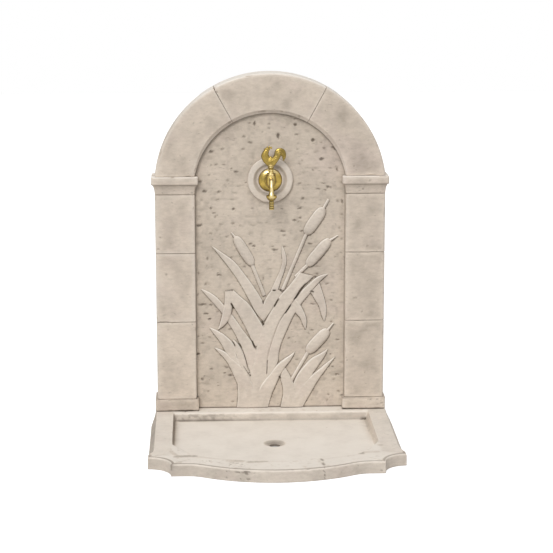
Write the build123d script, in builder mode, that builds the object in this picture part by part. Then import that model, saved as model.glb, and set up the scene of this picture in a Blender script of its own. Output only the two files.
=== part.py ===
from build123d import *
import os
from math import atan, cos, degrees, hypot, radians, sin

# Wall fountain of cast stone: an arched back with a bulrush relief, a shallow
# serpentine basin and a brass quarter-turn tap with a rooster handle.
# Millimetres. Z is up, the front faces -Y, and the origin is at the middle of
# the underside of the whole object.

# Stone frame: two pilasters of stacked blocks and a round arch of three stones
FRAME_SPAN = 600.0
SHAFT_WIDTH = 104.0
FRAME_DEPTH = 76.0
FRAME_PROUD = 22.0
PLINTH_HEIGHT = 31.5
LOWER_BLOCK_HEIGHT = 209.5
MIDDLE_BLOCK_HEIGHT = 183.5
UPPER_BLOCK_HEIGHT = 155.0
CAVETTO_HEIGHT = 26.0
ABACUS_HEIGHT = 21.0
PLINTH_STEP = 5.5
IMPOST_STEP = 9.0
CROWN_HALF_ANGLE = 28.8
ARCH_CENTRE_DROP = 36.0
ARRIS_ROUND = 4.0
JOINT_BEVEL = 1.2
INTRADOS_CHAMFER = 8.0

# Panel between the pilasters, lapped behind them in a rebate
PANEL_THICKNESS = 26.0
PANEL_LAP = 14.0
PANEL_EDGE_GAP = 1.0

# Basin: a tray with a bowed front, scalloped corners and bevelled sides
BASIN_REACH = 537.0
BASIN_OVERHANG = 16.0
BASIN_HEIGHT = 31.0
FLOOR_THICKNESS = 12.0
BACK_MARGIN = 6.0
BACK_STRAIGHT = 84.0
SPLAY_LENGTH = 60.0
BOW_DEPTH = 59.0
BOW_SHOULDER = 59.0
BOW_EASE = 80.0
SCALLOP_RADIUS = 57.0
SIDE_BEVEL_RUN = 13.0
SIDE_BEVEL_DROP = 22.0
BEVEL_STOP = 52.0
BEVEL_END_SHARE = 0.05
RIM_BEVEL = 3.0
LEDGE_DEPTH = 41.0
LEDGE_ROUND = 13.0
SIDE_RIM = 58.0
FRONT_RIM = 81.0
POCKET_BOW_DEPTH = 55.0
POCKET_CORNER_INSET = 53.0
POCKET_CORNER_REACH = 82.0
FRONT_SLOPE = 13.0
DRAIN_REACH = 262.0
DRAIN_BORE = 27.0
DRAIN_DISH = 66.0
DRAIN_DISH_DEPTH = 5.0

# Bulrush relief: how much bare field is left beside it, and how far it stands out
RELIEF_SIDE_MARGIN = 12.0
RELIEF_DRAWN_HALF_WIDTH = 184.0
SEED_HEAD_DIAMETER = 28.0
STEM_WIDTH = 11.0
STEM_RISE = 5.0
SPIKE_WIDTH = 7.0
SPIKE_TIP_WIDTH = 2.5

# Round stone boss behind the tap
TAP_HEIGHT = 615.0
BOSS_DIAMETER = 118.0
BOSS_THICKNESS = 14.0
BOSS_ROUND = 4.5
BOSS_RING_WIDTH = 14.0
BOSS_COVE_WIDTH = 8.5
BOSS_COVE_DEPTH = 4.0
TAP_HOLE_MARGIN = 1.5

# Brass tap
SHANK_DIAMETER = 22.0
SHANK_END_GAP = 1.5
INLET_DIAMETER = 20.955
INLET_LENGTH = 16.0
ROSETTE_DIAMETER = 61.0
ROSETTE_RISE = 9.0
ROSETTE_WALL = 2.0
ROSETTE_EDGE = 1.5
SLIP_FIT = 0.3
SHOULDER_DIAMETER = 27.0
SHOULDER_THICKNESS = 3.0
NECK_DIAMETER = 18.0
VALVE_REACH = 52.0
VALVE_DIAMETER = 25.0
VALVE_TOP = 18.0
INLET_BORE = 9.0
INLET_OVERRUN = 1.5
RISER_BORE = 8.0
CHAMBER_BORE = 18.0
CHAMBER_FLOOR = 7.0
SPOUT_RISE = 9.0
SPOUT_REACH = 36.0
SPOUT_BEND = 20.0
SPOUT_DIAMETER = 11.0
SPOUT_BORE = 6.4
SPOUT_FLARE_TOP = -20.0
SPOUT_THREAD_TOP = -28.0
SPOUT_END = -35.0
SPOUT_THREAD_DIAMETER = 16.66
WASHER_THICKNESS = 1.5
LOCK_WASHER_DIAMETER = 34.0
LOCK_NUT_FLATS = 30.0
LOCK_NUT_THICKNESS = 7.0
THREAD_FIT = 0.1

# Valve under the handle
RUNNING_FIT = 0.05
DISC_DIAMETER = 15.0
DISC_THICKNESS = 2.5
DISC_PORT_RADIUS = 6.0
DISC_PORT_HUB = 2.6
DISC_PORT_ANGLE = 76.0
BONNET_FLATS = 21.0
BONNET_HEX_HEIGHT = 6.0
BONNET_SKIRT = 4.0
GLAND_DIAMETER = 13.0
GLAND_HEIGHT = 10.0
SPINDLE_DIAMETER = 8.0
SPINDLE_COLLAR_DIAMETER = 12.0
SPINDLE_COLLAR_THICKNESS = 1.8
SPINDLE_END_PLAY = 0.1
TANG_WIDTH = 3.0
TANG_LENGTH = 10.0
TANG_ENTRY = 1.5
O_RING_SECTION = 0.96
O_RING_GROOVE_DEPTH = 1.0
O_RING_GROOVE_WIDTH = 1.6
O_RING_BELOW_TOP = 4.0

# Rooster handle
HANDLE_GAP = 2.5
HUB_DIAMETER = 16.0
HUB_HEIGHT = 8.0
ROOSTER_SINK = 1.5
SOCKET_DEPTH = 7.0
ROOSTER_THICKNESS = 8.0
HANDLE_SCREW_DIAMETER = 4.0
HANDLE_SCREW_HEIGHT = 3.5

# Hose connector under the spout
UNION_NUT_DIAMETER = 27.0
UNION_NUT_BAND = 5.0
UNION_NUT_HEIGHT = 12.5
UNION_NUT_END_DIAMETER = 17.0
HOSE_WASHER_THICKNESS = 1.5
HOSE_FLANGE_THICKNESS = 1.8
HOSE_TAIL_DIAMETER = 12.9
HOSE_TAIL_LENGTH = 26.0
HOSE_GROOVE_DEPTH = 0.9
HOSE_TAIL_RIB = 3.0
HOSE_TAIL_PITCH = 4.6
HOSE_TAIL_GROOVES = 4
HOSE_TAIL_BORE = 7.0

# Places worked out from the sizes above
BACK_Y = (BASIN_REACH + FRAME_DEPTH - FRAME_PROUD) / 2
FIELD_Y = BACK_Y - (FRAME_DEPTH - FRAME_PROUD)
SHAFT_FRONT_Y = FIELD_Y - FRAME_PROUD
PANEL_BACK_Y = FIELD_Y + PANEL_THICKNESS
INNER_X = FRAME_SPAN / 2 - SHAFT_WIDTH
OUTER_X = FRAME_SPAN / 2
REBATE_X = INNER_X + PANEL_LAP
PLINTH_TOP_Z = BASIN_HEIGHT + PLINTH_HEIGHT
LOWER_TOP_Z = PLINTH_TOP_Z + LOWER_BLOCK_HEIGHT
MIDDLE_TOP_Z = LOWER_TOP_Z + MIDDLE_BLOCK_HEIGHT
SHAFT_TOP_Z = MIDDLE_TOP_Z + UPPER_BLOCK_HEIGHT
SPRING_Z = SHAFT_TOP_Z + CAVETTO_HEIGHT + ABACUS_HEIGHT
TAP_Z = BASIN_HEIGHT + TAP_HEIGHT
SHANK_RADIUS = SHANK_DIAMETER / 2
TAP_HOLE_RADIUS = SHANK_RADIUS + TAP_HOLE_MARGIN
BOSS_SEAT = BOSS_THICKNESS - BOSS_COVE_DEPTH
SHOULDER_BACK = BOSS_SEAT + ROSETTE_RISE
VALVE_Y = FIELD_Y - VALVE_REACH
SPOUT_FORWARD = VALVE_REACH + SPOUT_REACH
SIDES = (("left", -1), ("right", 1))
PICK_MARGIN = 1.0

# Sketch plane of the tap: local x runs forward from the panel, local y runs up
TAP_SIDE = Plane(origin=(0, FIELD_Y, TAP_Z), x_dir=(0, -1, 0), z_dir=(-1, 0, 0))
TAP_AXIS = Axis((0, FIELD_Y, TAP_Z), (0, -1, 0))
VALVE_AXIS = Axis((0, VALVE_Y, TAP_Z), (0, 0, 1))
SPOUT_AXIS = Axis((0, FIELD_Y - SPOUT_FORWARD, TAP_Z), (0, 0, 1))


def facing(y):
    """Upright plane at this depth, with X to the right, Z up and its normal to the front."""
    return Plane.XZ.offset(-y)


def level(height, x=0.0, y=0.0):
    """Horizontal plane through a point, with its normal up."""
    return Plane(origin=(x, y, height))


def hand_over(piece, name):
    """Label a finished piece and write it as its own STEP file."""
    piece.part.label = name
    export_step(piece.part, f"parts/{name}.step")


def stone_plan(side, step):
    """Plan of a frame stone: its front lip covers the panel's edge, the rebate behind holds it."""
    inner = INNER_X - step
    outer = OUTER_X + step
    front = SHAFT_FRONT_Y - step
    corners = [
        (inner, FIELD_Y),
        (inner, front),
        (outer, front),
        (outer, BACK_Y),
        (REBATE_X, BACK_Y),
        (REBATE_X, FIELD_Y),
    ]
    with BuildSketch() as plan:
        with BuildLine():
            Polyline(*[(side * x, y) for x, y in corners], close=True)
        make_face()
    return plan.sketch


def front_uprights(piece):
    """The two upright arrises of a frame stone's front face."""
    return piece.faces().sort_by(Axis.Y)[0].edges().filter_by(Axis.Z)


def front_joints(piece):
    """The two level edges of a frame stone's front face, where it meets its neighbours."""
    return piece.faces().sort_by(Axis.Y)[0].edges().filter_by(Axis.X)


# Basin
CORNER_X = OUTER_X + BASIN_OVERHANG
SCALLOP_END_X = CORNER_X - SCALLOP_RADIUS
BOW_HALF_WIDTH = SCALLOP_END_X - BOW_SHOULDER
BACK_X = OUTER_X + BACK_MARGIN
FRONT_Y = -BACK_Y
BOW_ROOT_Y = FRONT_Y + BOW_DEPTH
SCALLOP_START_Y = BOW_ROOT_Y + SCALLOP_RADIUS
SPLAY_Y = BACK_Y - BACK_STRAIGHT
POCKET_X = CORNER_X - SIDE_RIM
POCKET_BOW_HALF_WIDTH = POCKET_X - POCKET_CORNER_INSET
POCKET_BACK_Y = FIELD_Y - LEDGE_DEPTH
POCKET_FRONT_Y = FRONT_Y + FRONT_RIM
POCKET_BOW_ROOT_Y = POCKET_FRONT_Y + POCKET_BOW_DEPTH
POCKET_CORNER_Y = POCKET_BOW_ROOT_Y + POCKET_CORNER_REACH
DRAIN_Y = FIELD_Y - DRAIN_REACH
DISH_ANGLE = 2 * degrees(atan((DRAIN_DISH - DRAIN_BORE) / 2 / DRAIN_DISH_DEPTH))


def basin_outline():
    """Serpentine plan: splayed back corners, concave scallops and a bowed front."""
    right = [
        (BACK_X, BACK_Y),
        (BACK_X, SPLAY_Y),
        (CORNER_X, SPLAY_Y - SPLAY_LENGTH),
        (CORNER_X, SCALLOP_START_Y),
    ]
    left = [(-x, y) for x, y in reversed(right)]
    with BuildSketch() as plan:
        with BuildLine():
            Polyline(*left, *right)
            RadiusArc(right[-1], (SCALLOP_END_X, BOW_ROOT_Y), -SCALLOP_RADIUS)
            Line((SCALLOP_END_X, BOW_ROOT_Y), (BOW_HALF_WIDTH, BOW_ROOT_Y))
            ThreePointArc(
                (BOW_HALF_WIDTH, BOW_ROOT_Y), (0, FRONT_Y), (-BOW_HALF_WIDTH, BOW_ROOT_Y))
            Line((-BOW_HALF_WIDTH, BOW_ROOT_Y), (-SCALLOP_END_X, BOW_ROOT_Y))
            RadiusArc((-SCALLOP_END_X, BOW_ROOT_Y), left[0], -SCALLOP_RADIUS)
        make_face()
        bow_ends = [v for v in plan.vertices() if abs(abs(v.X) - BOW_HALF_WIDTH) < PICK_MARGIN]
        fillet(bow_ends, BOW_EASE)
    return plan.sketch


with BuildPart() as basin:
    with BuildSketch():
        add(basin_outline())
    extrude(amount=BASIN_HEIGHT)
    rim = basin.faces().sort_by(Axis.Z)[-1].edges()
    bowed = rim.filter_by_position(
        Axis.Y, FRONT_Y - PICK_MARGIN, SCALLOP_START_Y - PICK_MARGIN)
    chamfer(bowed, RIM_BEVEL)
    # Bevelled sides that die away before the front corners
    for name, side in SIDES:
        bevel_end = SCALLOP_START_Y + 2 * RIM_BEVEL
        for y, share in ((BACK_Y, 1.0), (bevel_end + BEVEL_STOP, 1.0), (bevel_end, BEVEL_END_SHARE)):
            with BuildSketch(facing(y)):
                with BuildLine():
                    Polyline(
                        (side * (CORNER_X - SIDE_BEVEL_RUN * share), BASIN_HEIGHT),
                        (side * CORNER_X, BASIN_HEIGHT),
                        (side * CORNER_X, BASIN_HEIGHT - SIDE_BEVEL_DROP * share),
                        close=True,
                    )
                make_face()
        loft(ruled=True, mode=Mode.SUBTRACT)
    with BuildSketch(level(FLOOR_THICKNESS)):
        with BuildLine():
            Polyline(
                (-POCKET_BOW_HALF_WIDTH, POCKET_BOW_ROOT_Y),
                (-POCKET_X, POCKET_CORNER_Y),
                (-POCKET_X, POCKET_BACK_Y),
                (POCKET_X, POCKET_BACK_Y),
                (POCKET_X, POCKET_CORNER_Y),
                (POCKET_BOW_HALF_WIDTH, POCKET_BOW_ROOT_Y),
            )
            ThreePointArc(
                (POCKET_BOW_HALF_WIDTH, POCKET_BOW_ROOT_Y),
                (0, POCKET_FRONT_Y),
                (-POCKET_BOW_HALF_WIDTH, POCKET_BOW_ROOT_Y),
            )
        make_face()
    extrude(amount=BASIN_HEIGHT, mode=Mode.SUBTRACT)
    mouth = basin.faces().sort_by(Axis.Z)[-1].inner_wires()[0].edges()
    curved = mouth.filter_by_position(
        Axis.Y, POCKET_FRONT_Y - PICK_MARGIN, POCKET_CORNER_Y - PICK_MARGIN)
    chamfer(curved, FRONT_SLOPE)
    mouth = basin.faces().sort_by(Axis.Z)[-1].inner_wires()[0].edges()
    fillet(mouth.sort_by(Axis.Y)[-1], LEDGE_ROUND)
    with Locations(level(FLOOR_THICKNESS, 0, DRAIN_Y)):
        CounterSinkHole(DRAIN_BORE / 2, DRAIN_DISH / 2, counter_sink_angle=DISH_ANGLE)

hand_over(basin, "basin")

# Pilasters: a plinth, three blocks and an impost on each side
for name, side in SIDES:
    with BuildPart() as plinth:
        with BuildSketch(level(BASIN_HEIGHT)):
            add(stone_plan(side, PLINTH_STEP))
        extrude(amount=PLINTH_HEIGHT)
        fillet(front_uprights(plinth), ARRIS_ROUND)
        chamfer(front_joints(plinth), JOINT_BEVEL)
    hand_over(plinth, f"{name}_plinth")

    blocks = (
        ("lower", PLINTH_TOP_Z, LOWER_BLOCK_HEIGHT),
        ("middle", LOWER_TOP_Z, MIDDLE_BLOCK_HEIGHT),
        ("upper", MIDDLE_TOP_Z, UPPER_BLOCK_HEIGHT),
    )
    for course, foot, height in blocks:
        with BuildPart() as block:
            with BuildSketch(level(foot)):
                add(stone_plan(side, 0))
            extrude(amount=height)
            fillet(front_uprights(block), ARRIS_ROUND)
            chamfer(front_joints(block), JOINT_BEVEL)
        hand_over(block, f"{name}_{course}_block")

    # The impost is a flat slab over a cavetto that runs round its three open sides
    with BuildPart() as impost:
        with BuildSketch(level(SHAFT_TOP_Z)):
            add(stone_plan(side, IMPOST_STEP))
        extrude(amount=CAVETTO_HEIGHT + ABACUS_HEIGHT)
        fillet(front_uprights(impost), ARRIS_ROUND)
        with BuildLine() as cavetto_path:
            Polyline(
                (side * OUTER_X, BACK_Y, SHAFT_TOP_Z),
                (side * OUTER_X, SHAFT_FRONT_Y, SHAFT_TOP_Z),
                (side * INNER_X, SHAFT_FRONT_Y, SHAFT_TOP_Z),
                (side * INNER_X, FIELD_Y, SHAFT_TOP_Z),
            )
        section = Plane(
            origin=(side * OUTER_X, BACK_Y, SHAFT_TOP_Z), x_dir=(side, 0, 0), z_dir=(0, -side, 0))
        with BuildSketch(section):
            with BuildLine():
                EllipticalCenterArc(
                    (IMPOST_STEP, 0), IMPOST_STEP, CAVETTO_HEIGHT, start_angle=90, arc_size=90)
                Polyline(
                    (0, 0),
                    (2 * IMPOST_STEP, 0),
                    (2 * IMPOST_STEP, CAVETTO_HEIGHT),
                    (IMPOST_STEP, CAVETTO_HEIGHT),
                )
            make_face()
        sweep(path=cavetto_path.wires()[0], transition=Transition.RIGHT, mode=Mode.SUBTRACT)
    hand_over(impost, f"{name}_impost")

# Arch: three stones with a chamfered intrados and the same rebate for the panel. Its edges are
# concentric and meet the pilasters' edges at the springing line.
ARCH_Z = SPRING_Z - ARCH_CENTRE_DROP
ARCH_INNER = hypot(INNER_X, ARCH_CENTRE_DROP)
ARCH_OUTER = hypot(OUTER_X, ARCH_CENTRE_DROP)
ARCH_REBATE = hypot(REBATE_X, ARCH_CENTRE_DROP)
ARCH_STONES = (
    ("right_voussoir", 0, 90 - CROWN_HALF_ANGLE),
    ("crown_voussoir", 90 - CROWN_HALF_ANGLE, 90 + CROWN_HALF_ANGLE),
    ("left_voussoir", 90 + CROWN_HALF_ANGLE, 180),
)


def arch_sector(inner, outer, start, end):
    """Ring sector about the arch's centre, in the plane of the panel."""
    with BuildSketch() as sector:
        with BuildLine():
            CenterArc((0, ARCH_Z), outer, start, end - start)
            CenterArc((0, ARCH_Z), inner, start, end - start)
            for angle in (start, end):
                ray = Vector(cos(radians(angle)), sin(radians(angle)))
                Line(Vector(0, ARCH_Z) + ray * inner, Vector(0, ARCH_Z) + ray * outer)
        make_face()
    return sector.sketch


for name, start, end in ARCH_STONES:
    with BuildPart() as voussoir:
        with BuildSketch(facing(BACK_Y)):
            add(arch_sector(ARCH_REBATE, ARCH_OUTER, start, end))
        extrude(amount=FRAME_DEPTH)
        with BuildSketch(facing(FIELD_Y)):
            add(arch_sector(ARCH_INNER, ARCH_REBATE, start, end))
        extrude(amount=FRAME_PROUD)
        if name != "crown_voussoir":
            split(bisect_by=level(SPRING_Z), keep=Keep.TOP)
        front = voussoir.faces().sort_by(Axis.Y)[0]
        chamfer(front.edges().filter_by(GeomType.CIRCLE).sort_by(SortBy.RADIUS)[0], INTRADOS_CHAMFER)
        front = voussoir.faces().sort_by(Axis.Y)[0]
        fillet(front.edges().filter_by(GeomType.CIRCLE).sort_by(SortBy.RADIUS)[-1], ARRIS_ROUND)
        front = voussoir.faces().sort_by(Axis.Y)[0]
        chamfer(front.edges().filter_by(GeomType.LINE), JOINT_BEVEL)
    hand_over(voussoir, name)

# Panel: a slab with a round head and a hole for the tap
PANEL_X = REBATE_X - PANEL_EDGE_GAP
PANEL_HEAD = hypot(PANEL_X, ARCH_CENTRE_DROP)
with BuildPart() as back_panel:
    with BuildSketch(facing(PANEL_BACK_Y)):
        with BuildLine():
            Polyline(
                (PANEL_X, SPRING_Z),
                (PANEL_X, BASIN_HEIGHT),
                (-PANEL_X, BASIN_HEIGHT),
                (-PANEL_X, SPRING_Z),
            )
            ThreePointArc((-PANEL_X, SPRING_Z), (0, ARCH_Z + PANEL_HEAD), (PANEL_X, SPRING_Z))
        make_face()
        with Locations((0, TAP_Z)):
            Circle(TAP_HOLE_RADIUS, mode=Mode.SUBTRACT)
    extrude(amount=PANEL_THICKNESS)
hand_over(back_panel, "back_panel")

# Relief. Points are drawn on the field in millimetres from its middle and up from the basin.
# Each blade is its rise from the field, its left edge and its right edge, from the root on.
RELIEF_SCALE = (INNER_X - RELIEF_SIDE_MARGIN) / RELIEF_DRAWN_HALF_WIDTH
CLUMP_BLADES = (
    (6.0, ((-62, 60), (-67, 135), (-100, 214), (-128, 259), (-152, 288), (-183, 324)),
     ((-28, 60), (-38, 155), (-66, 204), (-95, 252), (-142, 303), (-183, 324))),
    (7.0, ((-32, 150), (-23, 228), (-38, 258), (-59, 304), (-100, 370), (-158, 438)),
     ((0, 150), (-8, 262), (-44, 329), (-77, 376), (-120, 415), (-158, 438))),
    (8.0, ((-42, 60), (-41, 162), (-70, 239), (-100, 286), (-121, 317)),
     ((-14, 60), (-12, 200), (-26, 240), (-60, 288), (-97, 322))),
    (8.5, ((-121, 317), (-120, 282), (-130, 236), (-138, 212)),
     ((-97, 322), (-102, 282), (-110, 246), (-138, 212))),
    (7.5, ((-86, 60), (-104, 128), (-127, 173), (-161, 216)),
     ((-58, 60), (-82, 140), (-101, 178), (-140, 211), (-161, 216))),
    (8.8, ((-82, 40), (-80, 117), (-90, 155), (-101, 188)),
     ((-48, 40), (-58, 105), (-70, 150), (-84, 177), (-101, 188))),
    (9.5, ((-89, 0), (-86, 52), (-98, 92), (-123, 137), (-148, 163)),
     ((-42, 0), (-56, 60), (-85, 121), (-119, 154), (-148, 163))),
    (5.5, ((-22, 262), (4, 327), (22, 366), (31, 398), (30, 440)),
     ((12, 262), (28, 346), (39, 376), (43, 404), (30, 440))),
    (9.0, ((-44, 0), (-34, 160), (-10, 280), (4, 321)),
     ((-12, 0), (-4, 180), (18, 284), (38, 320))),
    (8.4, ((-28, 60), (-16, 190), (12, 280), (45, 322), (90, 365)),
     ((4, 60), (6, 190), (41, 261), (77, 316), (114, 359))),
    (7.2, ((-12, 60), (4, 180), (26, 239), (66, 300), (94, 339), (122, 358), (153, 362)),
     ((18, 60), (21, 134), (34, 193), (67, 258), (107, 314), (128, 340), (153, 362))),
    (9.8, ((-36, 0), (-18, 70), (20, 116), (43, 138), (66, 151)),
     ((-8, 0), (5, 43), (26, 86), (47, 118), (66, 151))),
    (6.8, ((54, 276), (67, 259), (80, 240), (92, 212)),
     ((76, 292), (89, 261), (97, 234), (92, 212))),
    (6.2, ((100, 318), (121, 291), (134, 262), (142, 234)),
     ((124, 342), (136, 320), (145, 286), (149, 256), (142, 234))),
)
CLUMP_SEED_HEADS = (
    ((-10, 275), (-49, 386), (-91, 466), (-103, 479)),
    ((24, 302), (93, 468), (144, 541), (154, 562)),
    ((70, 345), (102, 384), (161, 453), (178, 468)),
)
SPRIG_BLADES = (
    (8.8, ((28, 0), (34, 38), (31, 62), (31, 84), (44, 109)),
     ((72, 0), (67, 48), (56, 83), (44, 109))),
    (7.4, ((48, 0), (62, 62), (84, 104), (108, 130), (154, 158)),
     ((84, 0), (96, 62), (113, 94), (131, 118), (154, 158))),
    (9.2, ((60, 0), (76, 53), (115, 89), (150, 126), (175, 136)),
     ((92, 0), (112, 42), (137, 87), (158, 118), (175, 136))),
)
SPRIG_SEED_HEADS = (((60, 70), (99, 151), (155, 215), (170, 231)),)


def on_field(point):
    """Place of a drawn point on the panel, in X and Z."""
    return Vector(point[0] * RELIEF_SCALE, BASIN_HEIGHT + point[1] * RELIEF_SCALE)


def across(start, end, width):
    """Half of a width, square to the line from start to end."""
    return (end - start).rotate(Axis.Z, 90).normalized() * (width * RELIEF_SCALE / 2)


def blade_face(left, right):
    """Leaf blade between two drawn edges that meet at a tip or end square."""
    left = [on_field(point) for point in left]
    right = [on_field(point) for point in right]
    with BuildSketch() as blade:
        with BuildLine():
            Spline(*left)
            Spline(*right)
            Line(left[0], right[0])
            if left[-1] != right[-1]:
                Line(left[-1], right[-1])
        make_face()
    return blade.sketch


def strip_face(start, end, start_width, end_width):
    """Straight stem or spike between two points."""
    start, end = on_field(start), on_field(end)
    half_start = across(start, end, start_width)
    half_end = across(start, end, end_width)
    with BuildSketch() as strip:
        with BuildLine():
            Polyline(
                start + half_start, end + half_end, end - half_end, start - half_start, close=True)
        make_face()
    return strip.sketch


def seed_head(low, high):
    """Half of a round-ended seed head lying on the field."""
    low, high = on_field(low), on_field(high)
    length = (high - low).length
    radius = SEED_HEAD_DIAMETER * RELIEF_SCALE / 2
    run = (high - low).normalized()
    lying = Plane(
        origin=(low.X, FIELD_Y, low.Y), x_dir=(run.X, 0, run.Y), z_dir=(0, -1, 0))
    with BuildPart() as head:
        with BuildSketch(lying):
            with BuildLine():
                Line((0, 0), (length, 0))
                CenterArc((length - radius, 0), radius, 0, 90)
                Line((length - radius, radius), (radius, radius))
                CenterArc((radius, 0), radius, 90, 90)
            make_face()
        revolve(axis=Axis(lying.origin, lying.x_dir), revolution_arc=180)
    return head.part


for name, blades, heads in (
    ("bulrush_clump", CLUMP_BLADES, CLUMP_SEED_HEADS),
    ("bulrush_sprig", SPRIG_BLADES, SPRIG_SEED_HEADS),
):
    with BuildPart() as relief:
        for rise, left, right in blades:
            with BuildSketch(facing(FIELD_Y)):
                add(blade_face(left, right))
            extrude(amount=rise)
        for foot, low, high, point in heads:
            with BuildSketch(facing(FIELD_Y)):
                add(strip_face(foot, low, STEM_WIDTH, STEM_WIDTH))
                add(strip_face(high, point, SPIKE_WIDTH, SPIKE_TIP_WIDTH))
            extrude(amount=STEM_RISE)
            add(seed_head(low, high))
        split(bisect_by=level(BASIN_HEIGHT), keep=Keep.TOP)
    hand_over(relief, name)

# Boss: a roundel with a raised ring, a cove and a flat seat for the rosette
BOSS_RADIUS = BOSS_DIAMETER / 2
RING_RADIUS = BOSS_RADIUS - BOSS_RING_WIDTH
SEAT_RADIUS = RING_RADIUS - BOSS_COVE_WIDTH
with BuildPart() as tap_boss:
    with BuildSketch(TAP_SIDE):
        with BuildLine():
            Polyline(
                (BOSS_SEAT, SEAT_RADIUS),
                (BOSS_SEAT, TAP_HOLE_RADIUS),
                (0, TAP_HOLE_RADIUS),
                (0, BOSS_RADIUS),
                (BOSS_THICKNESS - BOSS_ROUND, BOSS_RADIUS),
            )
            CenterArc(
                (BOSS_THICKNESS - BOSS_ROUND, BOSS_RADIUS - BOSS_ROUND), BOSS_ROUND, 0, 90)
            Line((BOSS_THICKNESS, BOSS_RADIUS - BOSS_ROUND), (BOSS_THICKNESS, RING_RADIUS))
            EllipticalCenterArc(
                (BOSS_THICKNESS, SEAT_RADIUS),
                BOSS_COVE_DEPTH,
                BOSS_COVE_WIDTH,
                start_angle=90,
                arc_size=90,
            )
        make_face()
    revolve(axis=TAP_AXIS)
hand_over(tap_boss, "tap_boss")

# Rosette: a thin brass dome that hides the hole
ROSETTE_RADIUS = ROSETTE_DIAMETER / 2
ROSETTE_HOLE = SHANK_RADIUS + SLIP_FIT
ROSETTE_FLAT = SHOULDER_DIAMETER / 2
ROSETTE_SHOULDER = BOSS_SEAT + ROSETTE_EDGE
DOME_MIDDLE_SHARE = 0.62


def dome_middle(outer, inner):
    """Middle point of the dome's arc, between its edge and its flat."""
    (low, far), (high, near) = outer, inner
    return (low + (high - low) * DOME_MIDDLE_SHARE, (far + near) / 2)


with BuildPart() as rosette:
    dome_edge = (ROSETTE_SHOULDER, ROSETTE_RADIUS)
    dome_flat = (SHOULDER_BACK, ROSETTE_FLAT)
    lining_edge = (BOSS_SEAT, ROSETTE_RADIUS - ROSETTE_WALL)
    lining_flat = (SHOULDER_BACK - ROSETTE_WALL, ROSETTE_FLAT)
    with BuildSketch(TAP_SIDE):
        with BuildLine():
            Line((BOSS_SEAT, ROSETTE_RADIUS), dome_edge)
            ThreePointArc(dome_edge, dome_middle(dome_edge, dome_flat), dome_flat)
            Polyline(
                dome_flat,
                (SHOULDER_BACK, ROSETTE_HOLE),
                (SHOULDER_BACK - ROSETTE_WALL, ROSETTE_HOLE),
                lining_flat,
            )
            ThreePointArc(lining_flat, dome_middle(lining_edge, lining_flat), lining_edge)
            Line(lining_edge, (BOSS_SEAT, ROSETTE_RADIUS))
        make_face()
    revolve(axis=TAP_AXIS)
hand_over(rosette, "rosette")

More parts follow.
